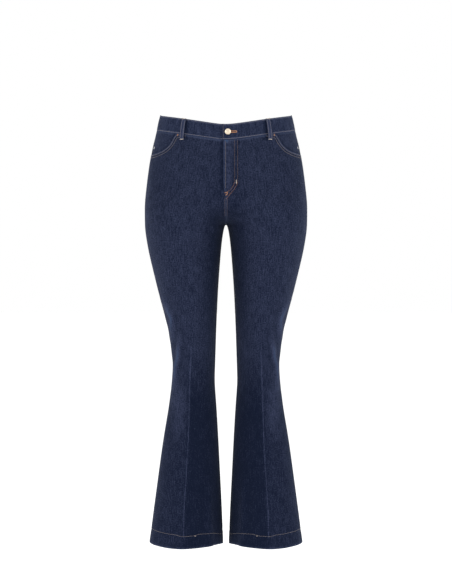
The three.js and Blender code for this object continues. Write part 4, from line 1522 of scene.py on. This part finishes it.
def seat_of(node):
    """A turned CAD piece's foot, its outward axis, its height along that and its radius."""
    points = np.unique(np.round(points_of(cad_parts[node].data), 6), axis=0)
    middle = points.mean(axis=0)
    _, _, ways = np.linalg.svd(points - middle)
    axis = ways[2] * math.copysign(1.0, float(ways[2][:2] @ middle[:2]))
    heights = (points - middle) @ axis
    radial = (points - middle) - np.outer(heights, axis)
    foot = middle + axis * float(heights.min())
    return foot, axis, float(np.ptp(heights)), float(np.linalg.norm(radial, axis=1).max())


class JEANS_OT_button(bpy.types.Operator):
    """The metal shank button at the waist"""

    bl_idname = "jeans.button"
    bl_label = "Waist Button"

    def execute(self, context):
        foot, axis, tall, _ = seat_of("waist_button")
        radius = context.scene.jeans_metal.button_radius
        head = tall - BUTTON_HEAD[-1][1]
        profile = [(SHANK_RADIUS, 0.0), (SHANK_RADIUS, head + 0.0004)]
        profile += [(radius * share, head + height) for share, height in BUTTON_HEAD]
        settle(turned("waist_button_metal", profile, foot, axis), ("brass",), "waist_button")
        return {"FINISHED"}


class JEANS_OT_rivets(bpy.types.Operator):
    """The small rivets at the outer ends of the pocket mouths"""

    bl_idname = "jeans.rivets"
    bl_label = "Rivets"

    def execute(self, context):
        for name in SIDES:
            node = f"pocket_rivet_{name}"
            foot, axis, tall, radius = seat_of(node)
            profile = [(radius * RIVET_SHARE * share, tall * height) for share, height in RIVET]
            settle(turned(f"rivet_{name}", profile, foot, axis, 28), ("nickel",), node)
        return {"FINISHED"}


# Studio


def area_light(name, place, aim, size, power):
    light = bpy.data.lights.new(name, "AREA")
    light.shape = "RECTANGLE"
    light.size, light.size_y = size
    light.energy = power
    lamp = linked(name, light)
    lamp.location = place
    lamp.rotation_euler = (Vector(aim) - Vector(place)).to_track_quat("-Z", "Y").to_euler()


class JEANS_OT_studio(bpy.types.Operator):
    """The white floor, the soft lights and the camera"""

    bl_idname = "jeans.studio"
    bl_label = "Studio"

    def execute(self, context):
        scene = context.scene
        studio = scene.jeans_studio
        floor = primitive(bpy.ops.mesh.primitive_plane_add, "floor", size=120.0,
                          location=(0, 0, -studio.floor_drop))
        bpy.ops.object.transform_apply(location=True, rotation=True, scale=True)
        dress(floor, "floor")
        scene.world = bpy.data.worlds.new("studio")
        scene.world.use_nodes = True
        background = scene.world.node_tree.nodes["Background"]
        background.inputs["Color"].default_value = (1.0, 1.0, 1.0, 1.0)
        background.inputs["Strength"].default_value = 1.0
        for name, side in SIDES.items():
            area_light(f"side_{name}", (-2.9 * side, -1.9, 0.5), (0.0, 0.0, -0.45), (1.6, 2.8), 34.0)
        area_light("back", (0.0, 3.4, 1.6), (0.0, 0.0, -0.4), (2.6, 1.6), 30.0)
        camera_data = bpy.data.cameras.new("camera")
        camera_data.lens = studio.lens
        camera_data.sensor_width = 36.0
        camera = linked("camera", camera_data)
        camera.location = (0.0, -studio.distance, studio.height)
        camera.rotation_euler = (math.pi / 2, 0.0, 0.0)
        scene.camera = camera
        scene.view_settings.view_transform = "Standard"
        return {"FINISHED"}


class JEANS_PT_sidebar(bpy.types.Panel):
    """Shows the jeans' settings and a button for each operator that makes a part"""

    bl_label = "Jeans"
    bl_idname = "JEANS_PT_sidebar"
    bl_space_type = "VIEW_3D"
    bl_region_type = "UI"
    bl_category = "Jeans"

    def draw(self, context):
        for name in GROUPS:
            box = self.layout.box()
            group = getattr(context.scene, name)
            for setting in group.__annotations__:
                box.prop(group, setting)
        for operator in OPERATORS:
            self.layout.operator(operator.bl_idname)


OPERATORS = (
    JEANS_OT_studio,
    JEANS_OT_waistband,
    JEANS_OT_yokes,
    JEANS_OT_legs,
    JEANS_OT_pocket_insets,
    JEANS_OT_back_pockets,
    JEANS_OT_belt_loops,
    JEANS_OT_fly_shield,
    JEANS_OT_zip,
    JEANS_OT_button,
    JEANS_OT_rivets,
    JEANS_OT_topstitch,
    JEANS_OT_bartacks,
)
GROUPS = {
    "jeans_denim": DenimSettings,
    "jeans_sewing": SewingSettings,
    "jeans_metal": MetalSettings,
    "jeans_studio": StudioSettings,
}


def register():
    for name, group in GROUPS.items():
        bpy.utils.register_class(group)
        setattr(bpy.types.Scene, name, bpy.props.PointerProperty(type=group))
    for kind in OPERATORS + (JEANS_PT_sidebar,):
        bpy.utils.register_class(kind)


def unregister():
    for kind in (JEANS_PT_sidebar,) + OPERATORS[::-1]:
        bpy.utils.unregister_class(kind)
    for name, group in GROUPS.items():
        delattr(bpy.types.Scene, name)
        bpy.utils.unregister_class(group)


def main():
    register()
    bpy.ops.jeans.studio()
    bpy.ops.jeans.waistband()
    bpy.ops.jeans.yokes()
    bpy.ops.jeans.legs()
    bpy.ops.jeans.pocket_insets()
    bpy.ops.jeans.back_pockets()
    bpy.ops.jeans.belt_loops()
    bpy.ops.jeans.fly_shield()
    bpy.ops.jeans.zip()
    bpy.ops.jeans.button()
    bpy.ops.jeans.rivets()
    bpy.ops.jeans.topstitch()
    bpy.ops.jeans.bartacks()


if __name__ == "__main__":
    main()
